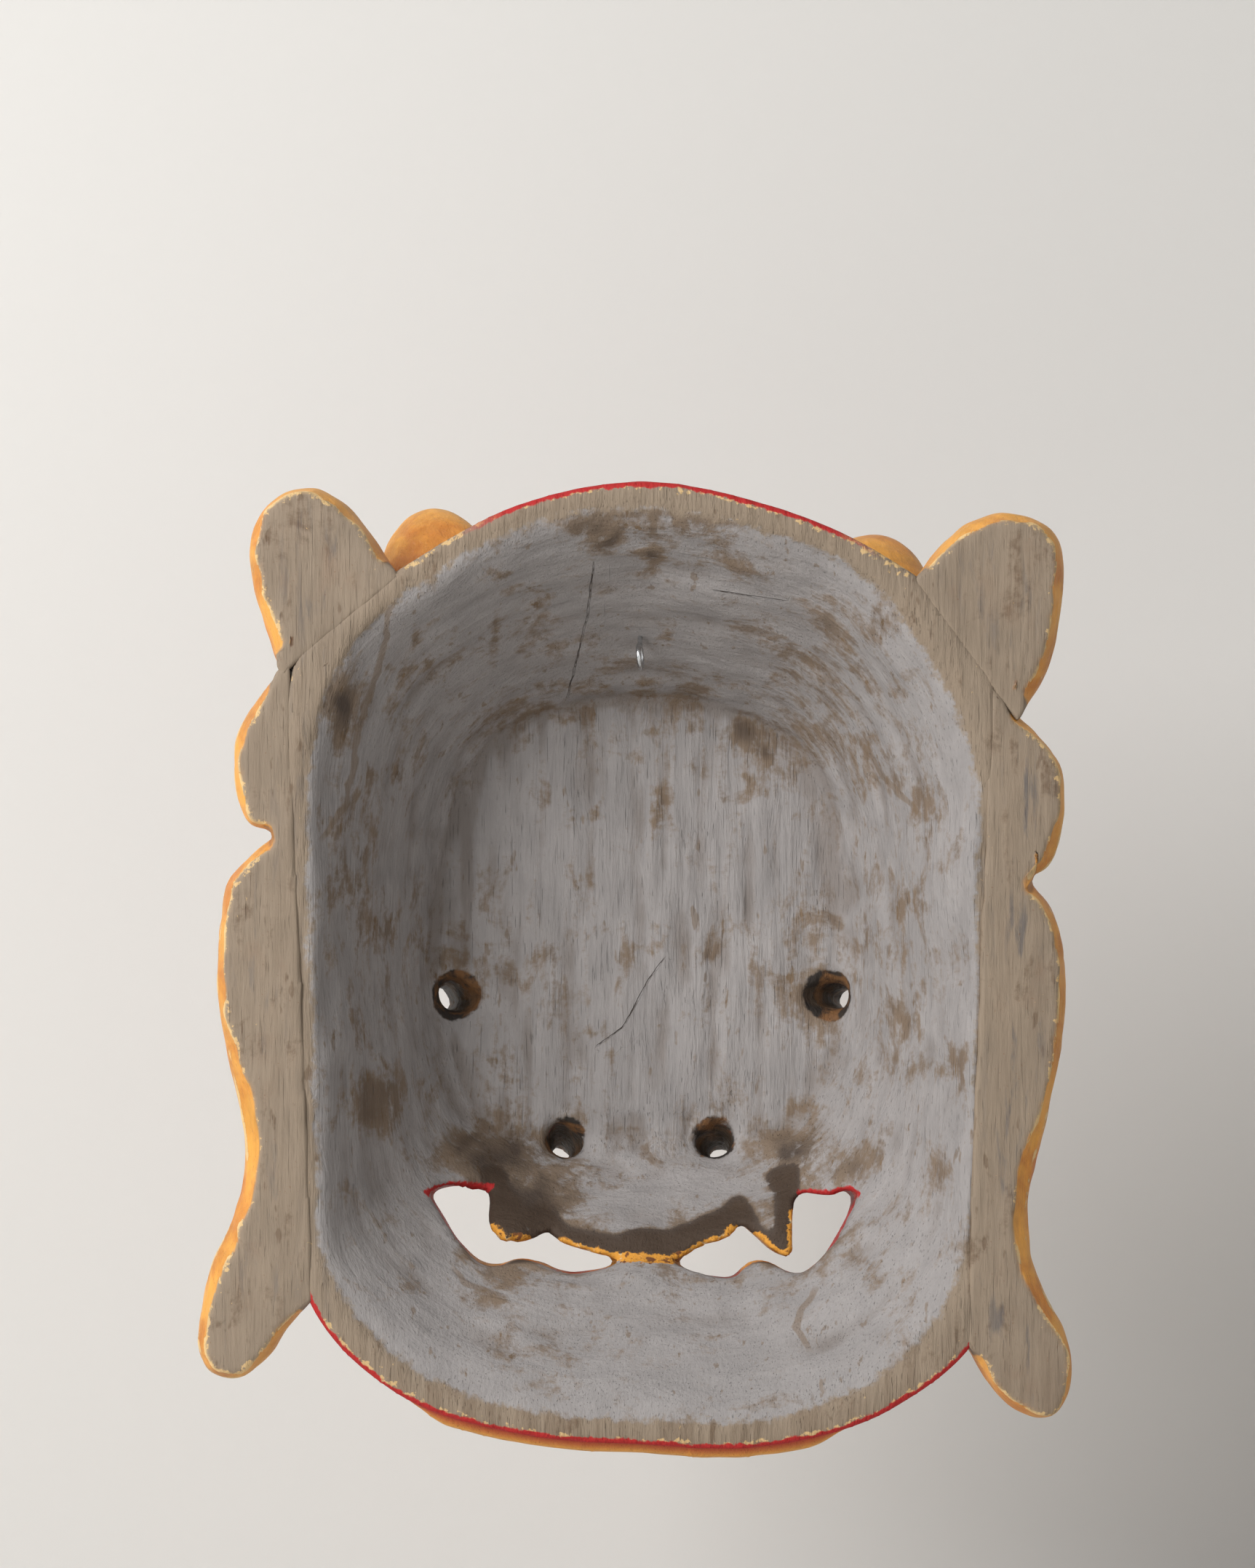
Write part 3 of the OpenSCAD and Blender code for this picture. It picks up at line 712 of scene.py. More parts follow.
locks = {
    "thickness": 26.0,
    "overlap": 2.4,         # how far the foot reaches under the block's paint
    "square": 1.45,         # size of the surface's squares
    "groove": 0.9,          # depth of the grooves that follow the outline
    "grooveGap": 6.5,       # from groove to groove
    "backBevel": 2.4,       # how far the back face is drawn in from the outline
}
# Outlines of the manes: distance out from the glue face, and height. The lobes of the upper locks follow:
# along the foot, and out from it.
leftMane = [[1.7, 104.3], [11.3, 93], [18, 81.5], [19.4, 71.5], [18.5, 59.5], [14, 50], [2.9, 46.5],
            [9, 43.7], [19, 35], [24.6, 25.5], [28.4, -5], [25.8, -30], [21.1, -59], [22.8, -79],
            [28.2, -93.5], [35, -107.5], [40, -131], [38, -140.5], [33, -144.5], [24.5, -145], [15, -138],
            [8, -128]]
rightMane = [[9.3, 87.3], [14.8, 82.4], [21.5, 74.8], [25.1, 67.4], [26, 56.7], [25.2, 44.7],
             [21.9, 35.8], [16.8, 32.2], [12.4, 33], [17, 27.6], [23.7, 19], [28, 5], [29.1, -20],
             [25.2, -48.7], [20.7, -70], [18.6, -86], [20.6, -102], [25.4, -114], [34.2, -131],
             [36.2, -145], [32.4, -157], [25, -159.6], [14.2, -154.7], [6.2, -146.3]]
leftLobe = [[-2.2, 16], [-2, 31], [4, 43], [16, 48], [31, 43.5], [41, 30], [46.5, 18], [51.5, 6]]
rightLobe = [[-2, 5], [-5, 15], [-5, 29], [1, 41], [14, 48.5], [27, 44.5], [40, 33], [52, 20], [57, 10]]
# Places where the back face is drawn in further: x, z, half width, half height, and how much more.
deepBevels = {
    "left_mane": [(146, -58, 14, 34, 4.5), (160, -132, 14, 20, 1.0), (142, 72, 14, 18, 1.0),
                  (150, -5, 12, 30, 1.0), (146, -100, 12, 16, 3.0)],
    "right_mane": [(-144, -84, 14, 32, 5.0), (-151, -20, 10, 30, 1.5), (-147, 40, 12, 14, 3.0)],
    "left_upper_lock": [(132, 118, 14, 14, 3.0), (141, 132, 16, 22, 1.5)],
    "right_upper_lock": [(-110, 168, 20, 12, 2.5), (-140, 104, 14, 14, 3.0), (-150, 126, 12, 20, 1.5)],
}


# Red left on the edges: x, z, half width and half height.
redPlaces = {
    "left_mane": [(137, -60, 4, 26), (149, 60, 5, 5)],
    "right_mane": [(-137, -64, 4, 22), (-148, -66, 5, 20)],
    "left_upper_lock": [(130, 118, 4, 6)],
    "right_upper_lock": [],
}
# How much dark scuffing each back carries.
scuffsOf = {"left_mane": 0.45, "right_mane": 1.0, "left_upper_lock": 0.6, "right_upper_lock": 0.5}


# Outline of a mane in x and z, closed along its glue face; side is 1 for the wearer's left.
def maneOutline(points, start, end, side):
    line = smoothLine(points, 10)
    z = np.concatenate([[start], line[:, 1], [end]])
    out = np.concatenate([[-locks["overlap"]], line[:, 0], [-locks["overlap"]]])
    return np.stack([side * (glueHalf(z) + out), z], axis=1)


# Outline of an upper lock: its foot runs between the two notches of that side.
def lobeOutline(points, side, turn):
    p, q = notches[side]
    foot = np.linalg.norm(q - p)
    along = (q - p) / foot
    out = np.array([-along[1], along[0]]) * turn
    sunk = -locks["overlap"]
    line = np.concatenate([[[0, sunk]], smoothLine(points, 10), [[foot, sunk]]])
    return p + line[:, :1] * along + line[:, 1:] * out


# Signed distance from places to a closed outline, above 0 inside.
def insideBy(x, z, outline):
    closed = np.concatenate([outline, outline[:1]])
    best = distanceToLine(x, z, [tuple(c) for c in closed])
    crossings = np.zeros(len(x), dtype=int)
    for (ax, az), (bx, bz) in zip(closed[:-1], closed[1:]):
        spans = (az > z) != (bz > z)
        at = ax + (z - az) * (bx - ax) / (bz - az if abs(bz - az) > 1e-9 else 1e-9)
        crossings += spans & (x < at)
    return np.where(crossings % 2 == 1, best, -best)


# A board with that outline: straight rings, then each point is drawn in by how near it is to the outline at
# the front and back, so the front is crowned and carved with grooves at even distances from the edge.
def makeLock(name, outline, foot):
    steps = np.array([0.0, 0.25, 0.5, 0.75, 1.0])
    rings = [np.stack([outline[:, 0], np.full(len(outline), -locks["thickness"] * s), outline[:, 1]], axis=1)
             for s in steps]
    lock = ringSolid("carved_" + name, rings)
    evenOut(lock, locks["square"])
    p = readPoints(lock)
    x, y, z = p.T
    deep = insideBy(x, z, outline)
    atFoot = distanceToLine(x, z, foot)
    free = ramp(0.5, 9, atFoot)
    share = np.clip(-y / locks["thickness"], 0, 1)
    more = 0
    for cx, cz, rx, rz, amount in deepBevels[name]:
        more = np.maximum(more, amount * bell(x, z, cx, cz, rx, rz))
    bevel = (locks["backBevel"] + more + 1.1 * lumps(x / 9, 0, z / 9, 41)) * (1 - ramp(0, 0.34, share)) * free
    crown = 5.5 * ramp(0.62, 1.0, share) ** 1.5 * free
    # everything near the outline moves inwards by the bevel and the crown
    step = 0.3
    slope = np.stack([insideBy(x + step, z, outline) - insideBy(x - step, z, outline),
                      insideBy(x, z + step, outline) - insideBy(x, z - step, outline)], axis=1) / (2 * step)
    slope /= np.maximum(np.linalg.norm(slope, axis=1), 0.3)[:, None]
    nearEdge = ramp(11, 1, deep)
    pull = (bevel + crown) * nearEdge
    grooves = -locks["groove"] * (0.5 + 0.5 * np.cos(2 * np.pi * deep / locks["grooveGap"])) ** 3
    frontFace = ramp(0.9, 1.0, share)
    turns = share * 3.2 + 0.25 * lumps(x / 25, 0, z / 25, 42)
    sideGrooves = -0.5 * (0.5 + 0.5 * np.cos(2 * np.pi * turns)) ** 3
    sideFace = ramp(0.15, 0.3, share) * ramp(1.0, 0.85, share) * free
    pull = pull - sideFace * sideGrooves
    p[:, 0] += slope[:, 0] * pull
    p[:, 2] += slope[:, 1] * pull
    p[:, 1] += frontFace * (-grooves * ramp(2, 6, deep) + 4.5 * ramp(9, 0, deep) * free)
    writePoints(lock, p)
    n = readNormals(lock)
    rough = 0.35 * lumps(x / 6, y / 6, z / 6, 43) + 0.3 * lumps(x / 15, y / 15, z / 15, 44)
    backFace = ramp(-1.2, -0.2, y) * ramp(0.3, 0.75, n[:, 1])
    p = p + n * ((1 - backFace) * rough)[:, None]
    p[:, 1] += backFace * backLumps(x, z)
    p[:, 1] = np.minimum(p[:, 1], 0) - 0.12
    writePoints(lock, p)
    setValue(lock, "rim", np.maximum(backFace, ramp(5.5, 4.5, distanceToLine(x, z, foot)) * ramp(-9, -6, y)))
    setValue(lock, "scuff", scuffsOf[name] * np.clip(1 - np.abs(deep - 13) / 12, 0, 1))
    setValue(lock, "edge", standsOut(lock, 3) * ramp(2, 7, distanceToLine(x, z, foot)))
    # painted shade: darker in hollows, in the grooves, and along the foot where the lock meets the block
    shadow = -standsOut(lock, 12) + 0.7 * ramp(9, 0, atFoot) * ramp(-2, -6, y) - 0.5 * grooves * frontFace
    setValue(lock, "shadow", shadow)
    setValue(lock, "red", redEdge(name, x, y, z))
    return lock


# Where the block's red paint was brushed onto a lock's edge.
def redEdge(name, x, y, z):
    red = np.zeros(len(x))
    for cx, cz, rx, rz in redPlaces[name]:
        red = np.maximum(red, bell(x, z, cx, cz, rx, rz) * ramp(-5, -12, y))
    return red


def glueLine(start, end, side):
    return [(side * glueHalf(start), start), (side * glueHalf(end), end)]


lockPieces = {}
for name, outline, foot in (
        ("left_mane", maneOutline(leftMane, 105.6, -116, 1), glueLine(105.6, -116, 1)),
        ("right_mane", maneOutline(rightMane, 98.4, -132, -1), glueLine(98.4, -132, -1)),
        ("left_upper_lock", lobeOutline(leftLobe, "left", 1), [tuple(c) for c in notches["left"]]),
        ("right_upper_lock", lobeOutline(rightLobe, "right", -1), [tuple(c) for c in notches["right"]])):
    lockPieces[name] = makeLock(name, outline, foot)
print("manes and upper locks are carved")


ears = {
    "width": 42.0,
    "thickness": 24.0,
    "length": 33.0,
    "hollow": 5.0,          # depth of the cupped front
    # seat, degrees that it leans outwards and forwards, share of the length
    "left": ((73.0, -46.0, 131.4), 8.0, 24.0, 1.2),
    "right": ((-83.5, -46.0, 129.6), -14.0, 24.0, 0.93),
}


# An ear: oval rings whose size falls as (1 - (0.985 h)^2.6)^0.6 with height h, bent forwards and cupped in
# front.
def makeEar(side):
    seat, lean, forward, share = ears[side]
    h = np.linspace(-0.12, 1, 70)[:, None]
    a = np.linspace(0, 2 * np.pi, 130, endpoint=False)[None, :]
    grown = np.clip(h, 0, 1)
    size = (1 - np.clip(grown * 0.985, 0, 1) ** 2.6) ** 0.6
    x = ears["width"] / 2 * size * np.cos(a)
    y = ears["thickness"] / 2 * size * np.sin(a) - 5 * grown ** 2
    cup = ears["hollow"] * bell(x, grown, 0, 0.35, 13, 0.42) * ramp(-0.2, -0.9, np.sin(a) + 0 * h)
    ridge = 0.7 * np.cos(2 * np.pi * np.hypot(x / 6.5, grown * 3.2)) * ramp(0.2, -0.5, np.sin(a) + 0 * h)
    y = y + cup - ridge
    z = ears["length"] * share * h + 0 * a
    y = y + 0.5 * lumps(x / 6, y / 6, z / 6, 51)
    x = x + 0.4 * lumps(x / 7, y / 7, z / 7, 52)
    lean, forward = math.radians(lean), math.radians(forward)
    y, z = y * math.cos(forward) - z * math.sin(forward), y * math.sin(forward) + z * math.cos(forward)
    x, z = x * math.cos(lean) + z * math.sin(lean), -x * math.sin(lean) + z * math.cos(lean)
    rings = np.stack([x, y, z], axis=-1) + np.array(seat)
    ear = ringSolid("carved_" + side + "_ear", rings)
    ear.data.shade_smooth()
    setValue(ear, "rim", np.zeros(len(ear.data.vertices)))
    setValue(ear, "scuff", np.zeros(len(ear.data.vertices)))
    setValue(ear, "red", 0.6 * ramp(0.16, 0.02, np.repeat(h.ravel(), a.shape[1])))
    setValue(ear, "edge", standsOut(ear, 3))
    # painted shade in the ear's hollows
    setValue(ear, "shadow", -standsOut(ear, 10))
    return ear


earPieces = {side + "_ear": makeEar(side) for side in ("left", "right")}
print("ears are carved")


# A place on the 0 to 1 scale of light from a colour written as on a paint chart, 0 to 255.
def paint(red, green, blue):
    shares = [c / 255 for c in (red, green, blue)]
    return tuple(((c + 0.055) / 1.055) ** 2.4 if c > 0.04 else c / 12.92 for c in shares) + (1.0,)


# Short ways to add and join nodes in a tree.
class Nodes:
    def __init__(self, tree):
        self.tree = tree

    def add(self, kind, **settings):
        made = self.tree.nodes.new(kind)
        inputs = settings.pop("inputs", {})
        for key, value in settings.items():
            setattr(made, key, value)
        for key, value in inputs.items():
            self.feed(made.inputs[key], value)
        return made

    def feed(self, socket, value):
        if isinstance(value, bpy.types.NodeSocket):
            self.tree.links.new(value, socket)
        else:
            socket.default_value = value

    def attribute(self, name):
        return self.add("ShaderNodeAttribute", attribute_name=name).outputs["Fac"]

    def math(self, operation, a, b=0.0, clamp=False):
        made = self.add("ShaderNodeMath", operation=operation, use_clamp=clamp)
        self.feed(made.inputs[0], a)
        self.feed(made.inputs[1], b)
        return made.outputs[0]

    def plus(self, a, b, clamp=False):
        return self.math("ADD", a, b, clamp)

    def minus(self, a, b):
        return self.math("SUBTRACT", a, b)

    def times(self, a, b):
        return self.math("MULTIPLY", a, b)

    # 0 below low, 1 above high
    def step(self, value, low, high):
        made = self.add("ShaderNodeMapRange", interpolation_type="SMOOTHSTEP",
                        inputs={"Value": value, "From Min": low, "From Max": high})
        return made.outputs["Result"]

    def mix(self, share, a, b):
        made = self.add("ShaderNodeMix", data_type="RGBA", clamp_factor=True)
        self.feed(made.inputs[0], share)
        self.feed(made.inputs[6], a)
        self.feed(made.inputs[7], b)
        return made.outputs[2]

    # stretched along each axis, and tilted about Y by an angle in radians
    def scaled(self, vector, scale, tilt=0.0):
        made = self.add("ShaderNodeMapping", inputs={"Rotation": (0.0, tilt, 0.0), "Scale": scale})
        self.feed(made.inputs["Vector"], vector)
        return made.outputs["Vector"]

    def noise(self, vector, scale, detail=3.0, rough=0.55, bend=0.0):
        made = self.add("ShaderNodeTexNoise", inputs={"Scale": scale, "Detail": detail, "Roughness": rough,
                                                      "Distortion": bend})
        self.feed(made.inputs["Vector"], vector)
        return made.outputs["Fac"]


# Streaks of a brush that ran along Z, or along the third part of a stored place.
def streaks(nodes, place, stretch):
    return nodes.noise(nodes.scaled(place, (1, 1, stretch)), 260.0, 5.0, 0.6, 0.3)


asVector, asColor, asNumber = "NodeSocketVector", "NodeSocketColor", "NodeSocketFloat"


# 1 for rays that show the background itself, 0 for the light that it throws.
def seenDirectly(nodes):
    path = nodes.add("ShaderNodeLightPath").outputs
    seen = nodes.math("MAXIMUM", path["Is Camera Ray"], path["Is Glossy Ray"])
    return nodes.math("MAXIMUM", seen, path["Is Transmission Ray"])


def newGroup(name, inputs, outputs):
    tree = bpy.data.node_groups.new(name, "ShaderNodeTree")
    for label, kind, value in inputs:
        socket = tree.interface.new_socket(name=label, in_out="INPUT", socket_type=kind)
        if value is not None:
            socket.default_value = value
    for label, kind in outputs:
        tree.interface.new_socket(name=label, in_out="OUTPUT", socket_type=kind)
    nodes = Nodes(tree)
    return nodes, nodes.add("NodeGroupInput").outputs, nodes.add("NodeGroupOutput").inputs


def useGroup(nodes, tree, **values):
    made = nodes.add("ShaderNodeGroup")
    made.node_tree = tree
    for label, value in values.items():
        nodes.feed(made.inputs[label], value)
    return made.outputs


# Long wood grain along Z: stretched noise with fine dark pores. Puts out its height and its darkness.
def makeGrain():
    nodes, given, out = newGroup("wood grain", [("Place", asVector, None)],
                                 [("Height", asNumber), ("Dark", asNumber)])
    place = given["Place"]
    fine = nodes.noise(nodes.scaled(place, (900, 900, 38)), 1.0, 4.0, 0.6, 0.2)
    broad = nodes.noise(nodes.scaled(place, (160, 160, 7)), 1.0, 3.0, 0.5, 0.6)
    pores = nodes.step(nodes.noise(nodes.scaled(place, (1900, 1900, 60)), 1.0, 2.0, 0.5), 0.64, 0.74)
    height = nodes.plus(nodes.times(fine, 0.6), nodes.times(broad, 0.4))
    nodes.feed(out["Height"], nodes.minus(height, nodes.times(pores, 0.5)))
    dark = nodes.times(nodes.step(broad, 0.42, 0.66), 0.5)
    nodes.feed(out["Dark"], nodes.plus(dark, nodes.times(pores, 0.5), clamp=True))
    return nodes.tree


# Paint worn through to what is under it: wear plus uneven noise decides where, with a thin ragged border.
def makeWear():
    nodes, given, out = newGroup("worn paint", [
        ("Place", asVector, None), ("Paint", asColor, None), ("Under", asColor, None),
        ("Wear", asNumber, 0.0), ("Edge", asNumber, 0.0)],
        [("Color", asColor), ("Height", asNumber)])
    large = nodes.noise(given["Place"], 60.0, 5.0, 0.62, 0.4)
    small = nodes.noise(given["Place"], 420.0, 4.0, 0.65)
    ragged = nodes.plus(nodes.times(large, 0.65), nodes.times(small, 0.35))
    amount = nodes.plus(nodes.plus(ragged, nodes.times(given["Wear"], 0.42)),
                        nodes.times(given["Edge"], 0.34))
    worn = nodes.step(amount, 0.66, 0.73)
    nodes.feed(out["Color"], nodes.mix(worn, given["Paint"], given["Under"]))
    nodes.feed(out["Height"], nodes.minus(1.0, worn))
    return nodes.tree


# Brush marks of thick paint: faint lighter and darker streaks, and broad blotches.
def makeBrush():
    nodes, given, out = newGroup("brush marks", [
        ("Place", asVector, None), ("Streak", asNumber, 0.5), ("Color", asColor, None),
        ("Strength", asNumber, 1.0)], [("Color", asColor), ("Height", asNumber)])
    blotch = nodes.noise(given["Place"], 45.0, 4.0, 0.55, 0.5)
    tone = nodes.plus(nodes.times(nodes.minus(given["Streak"], 0.5), 0.75),
                      nodes.times(nodes.minus(blotch, 0.5), 0.9))
    tone = nodes.times(tone, given["Strength"])
    scaled = nodes.add("ShaderNodeVectorMath", operation="SCALE")
    nodes.feed(scaled.inputs[0], given["Color"])
    nodes.feed(scaled.inputs["Scale"], nodes.plus(1.0, tone))
    nodes.feed(out["Color"], scaled.outputs[0])
    nodes.feed(out["Height"], given["Streak"])
    return nodes.tree


# Painted shade and grime: a brown film painted in the low places stands for their shade, and fine dark specks
# are dirt.
def makeShadeAndGrime():
    nodes, given, out = newGroup("shadeAndGrime", [
        ("Place", asVector, None), ("Color", asColor, None), ("Low", asNumber, 0.0),
        ("Dirt", asColor, None), ("Amount", asNumber, 1.0)],
        [("Color", asColor)])
    cloud = nodes.noise(given["Place"], 70.0, 5.0, 0.6, 0.4)
    low = nodes.plus(given["Low"], nodes.times(nodes.minus(cloud, 0.5), 0.9))
    # the film is painted shade, laid where Low says a place sits sunk in a hollow or crease
    film = nodes.step(low, 0.0, 0.75)
    speck = nodes.step(nodes.noise(given["Place"], 900.0, 2.0, 0.5), 0.69, 0.76)
    shadeAndSpecks = nodes.times(nodes.plus(film, nodes.times(speck, 0.6), clamp=True), given["Amount"])
    nodes.feed(out["Color"], nodes.mix(shadeAndSpecks, given["Color"], given["Dirt"]))
    return nodes.tree


# A thin brown wash: cloudy noise and streaks along the strokes decide where it lies, more of it where Worn is
# high, with small dashes scraped at a slant.
def makeWash():
    nodes, given, out = newGroup("brown wash", [
        ("Place", asVector, None), ("Streak", asNumber, 0.5), ("Color", asColor, None),
        ("Wash", asColor, None), ("Worn", asNumber, 0.0)],
        [("Color", asColor)])
    cloud = nodes.noise(given["Place"], 48.0, 7.0, 0.66, 0.7)
    fine = nodes.noise(given["Place"], 420.0, 4.0, 0.65)
    amount = nodes.plus(nodes.times(cloud, 0.5), nodes.times(given["Streak"], 0.32))
    amount = nodes.plus(amount, nodes.times(fine, 0.18))
    amount = nodes.plus(amount, nodes.times(given["Worn"], 0.17))
    film = nodes.step(amount, 0.515, 0.635)
    tilted = nodes.scaled(given["Place"], (240, 240, 80), 0.6)
    dash = nodes.step(nodes.noise(tilted, 1.0, 3.0, 0.5), 0.66, 0.72)
    cover = nodes.plus(0.8, nodes.times(given["Worn"], 0.13))
    washed = nodes.plus(nodes.times(film, cover), nodes.times(dash, 0.6), clamp=True)
    nodes.feed(out["Color"], nodes.mix(washed, given["Color"], given["Wash"]))
    return nodes.tree


grainGroup, wearGroup, brushGroup, shadeAndGrimeGroup = makeGrain(), makeWear(), makeBrush(), makeShadeAndGrime()
washGroup = makeWash()

colors = {
    "inside": paint(148, 143, 141),
    "insideUnder": paint(116, 96, 75),
    "insideDark": paint(60, 44, 30),
    "rim": paint(138, 122, 104),
    "rimUnder": paint(98, 77, 57),
    "scuff": paint(82, 80, 82),
    "chip": paint(222, 186, 128),
    "crack": paint(60, 48, 38),
    "red": paint(172, 28, 28),
    "lips": paint(140, 18, 20),
    "redUnder": paint(222, 150, 66),
    "ochre": paint(220, 156, 66),
    "ochreDeep": paint(190, 118, 44),
    "ochreDark": paint(112, 66, 30),
    "lockRed": paint(170, 50, 26),
    "teeth": paint(214, 148, 52),
    "teethWorn": paint(228, 198, 148),
    "white": paint(226, 220, 200),
    "black": paint(32, 29, 27),
    # walls of the eye and nostril passages: a near-black painted shade, and a painted lit brown
    "hole": paint(34, 26, 20),
    "holeLit": paint(112, 76, 42),
    # colour of the painted shade in the block's hollows and creases, and of its dirt specks
    "shadeAndDirt": paint(84, 66, 48),
    "steel": paint(196, 198, 200),
    "steelDull": paint(120, 112, 100),
    "iron": paint(72, 64, 58),
    "rust": paint(96, 62, 42),
}


def newMaterial(name, rough):
    made = bpy.data.materials.new(name)
    made.use_nodes = True
    nodes = Nodes(made.node_tree)
    shader = made.node_tree.nodes["Principled BSDF"]
    shader.inputs["Roughness"].default_value = rough
    place = nodes.add("ShaderNodeTexCoord").outputs["Object"]
    return made, nodes, shader, place


def addBump(nodes, shader, height, depth):
    bump = nodes.add("ShaderNodeBump", inputs={"Strength": 1.0, "Distance": depth, "Height": height})
    nodes.feed(shader.inputs["Normal"], bump.outputs["Normal"])


# The taupe paint of the flat backs: brushed along the grain, washed with brown, and scuffed blue-grey.
def backPaint(nodes, place, grain, edge, scuff):
    streak = streaks(nodes, place, 0.16)
    base = useGroup(nodes, brushGroup, Place=place, Streak=streak, Color=colors["rim"], Strength=0.4)
    height = nodes.add("ShaderNodeSeparateXYZ")
    nodes.feed(height.inputs[0], place)
    low = nodes.step(height.outputs["Z"], -0.235, -0.262)      # the grain shows more towards the beard
    grained = nodes.times(grain["Dark"], nodes.plus(0.16, nodes.times(low, 0.5)))
    color = nodes.mix(grained, base["Color"], colors["rimUnder"])
    washed = useGroup(nodes, washGroup, Place=place, Streak=streak, Color=color, Wash=colors["rimUnder"],
                      Worn=-0.1)
    tilted = nodes.scaled(place, (210, 210, 34), 0.5)
    scratch = nodes.step(nodes.noise(tilted, 1.0, 5.0, 0.62, 0.3), 0.52, 0.66)
    color = nodes.mix(nodes.times(scratch, nodes.times(scuff, 0.75)), washed["Color"], colors["scuff"])
    chip = nodes.step(nodes.plus(nodes.noise(place, 330.0, 4.0, 0.65), nodes.times(edge, 0.2)), 0.69, 0.75)
    return nodes.mix(nodes.times(chip, 0.7), color, colors["chip"]), base["Height"]


# The block: grey paint in the hollow, taupe on the rim, red, ochre, white and black in front.
def blockMaterial():
    made, nodes, shader, place = newMaterial("painted face", 0.62)
    get = nodes.attribute
    grain = useGroup(nodes, grainGroup, Place=place)
    edgeWear = nodes.step(get("edge"), 0.05, 0.45)
    ragged = nodes.plus(nodes.minus(nodes.noise(place, 120.0, 4.0, 0.6, 0.3), 0.5),
                        nodes.times(nodes.minus(nodes.noise(place, 500.0, 3.0, 0.6), 0.5), 0.6))

    def within(value, low, high, swing):
        return nodes.step(nodes.plus(value, nodes.times(ragged, swing)), low, high)

    inside = within(get("hollow"), -1.2, 1.6, 9.0)
    rim = get("rim")
    # the front
    frontColor = nodes.mix(get("ochre"), colors["red"], colors["ochre"])
    frontColor = nodes.mix(get("teeth"), frontColor, colors["teeth"])
    frontColor = nodes.mix(get("lips"), frontColor, colors["lips"])
    frontColor = nodes.mix(within(get("white"), 0.4, 0.6, 0.3), frontColor, colors["white"])
    frontColor = nodes.mix(within(get("black"), 0.4, 0.6, 0.3), frontColor, colors["black"])
    along = streaks(nodes, place, 0.25)
    frontColor = useGroup(nodes, brushGroup, Place=place, Streak=along, Color=frontColor, Strength=0.45)
    front = useGroup(nodes, wearGroup, Place=place, Paint=frontColor["Color"], Under=colors["redUnder"],
                     Wear=-0.12, Edge=nodes.times(edgeWear, nodes.minus(0.7, get("arc"))))
    # the rim, with a red line along its free edge above and below
    backColor, backHeight = backPaint(nodes, place, grain, edgeWear, get("scuff"))
    redLine = nodes.times(within(get("border"), 2.2, 1.5, 3.5), get("arc"))
    backColor = nodes.mix(redLine, backColor, colors["red"])
    # the hollow
    stroke = nodes.add("ShaderNodeAttribute", attribute_name="stroke").outputs["Vector"]
    onFloor = streaks(nodes, place, 0.18)
    onWall = streaks(nodes, stroke, 1)
    streak = nodes.mix(get("floor"), onWall, onFloor)
    brushed = useGroup(nodes, brushGroup, Place=place, Streak=streak, Color=colors["inside"], Strength=0.55)
    deep = nodes.plus(nodes.times(grain["Dark"], 0.5), nodes.step(get("worn"), 0.6, 1.1), clamp=True)
    wash = nodes.mix(deep, colors["insideUnder"], colors["insideDark"])
    hollow = useGroup(nodes, washGroup, Place=place, Streak=streak, Color=brushed["Color"], Wash=wash,
                      Worn=get("worn"))
    color = nodes.mix(rim, front["Color"], backColor)
    color = nodes.mix(inside, color, hollow["Color"])
    run = nodes.times(within(nodes.math("ABSOLUTE", get("run")), 1.3, 0.7, 0.9), get("runNear"))
    color = nodes.mix(nodes.times(run, 0.6), color, colors["insideUnder"])
    crack = nodes.times(within(nodes.math("ABSOLUTE", get("crack")), 1.6, 0.5, 2.5), get("crackNear"))
    color = nodes.mix(nodes.times(crack, nodes.step(ragged, -0.12, 0.14)), color, colors["crack"])
    # paint carried over the mouth's edges, and painted shade in the passages: near-black walls with random
    # patches of a painted lit brown
    patchy = nodes.mix(nodes.step(ragged, 0.08, 0.16), colors["teeth"], colors["teethWorn"])
    patchy = nodes.mix(nodes.step(ragged, -0.06, -0.16), patchy, colors["ochreDark"])
    color = nodes.mix(within(get("toTeeth"), 2.1, 1.4, 5.0), color, patchy)
    color = nodes.mix(within(get("toRed"), 1.5, 0.9, 2.5), color, colors["red"])
    passageLightAndShade = nodes.step(nodes.noise(place, 90.0, 4.0, 0.6, 0.5), 0.46, 0.62)
    passageLightAndShade = nodes.mix(passageLightAndShade, colors["hole"], colors["holeLit"])
    color = nodes.mix(within(get("hole"), -1.3, -0.2, 3.0), color, passageLightAndShade)
    # painted shade: a brown film in the hollows and creases where shadow is high, plus dirt specks
    shadeAndGrime = useGroup(nodes, shadeAndGrimeGroup, Place=place, Color=color, Low=get("shadow"), Dirt=colors["shadeAndDirt"],
                     Amount=0.4)
    nodes.feed(shader.inputs["Base Color"], shadeAndGrime["Color"])
    rough = nodes.plus(0.5, nodes.times(nodes.math("MAXIMUM", inside, rim), 0.28))
    nodes.feed(shader.inputs["Roughness"], rough)
    height = nodes.plus(nodes.mix(inside, backHeight, brushed["Height"]), nodes.times(grain["Height"], 0.5))
    outside = nodes.minus(1.0, nodes.math("MAXIMUM", inside, rim))
    height = nodes.plus(height, nodes.times(front["Height"], nodes.times(outside, 0.35)))
    height = nodes.minus(height, nodes.times(crack, 0.8))
    addBump(nodes, shader, height, 0.0012)
    return made


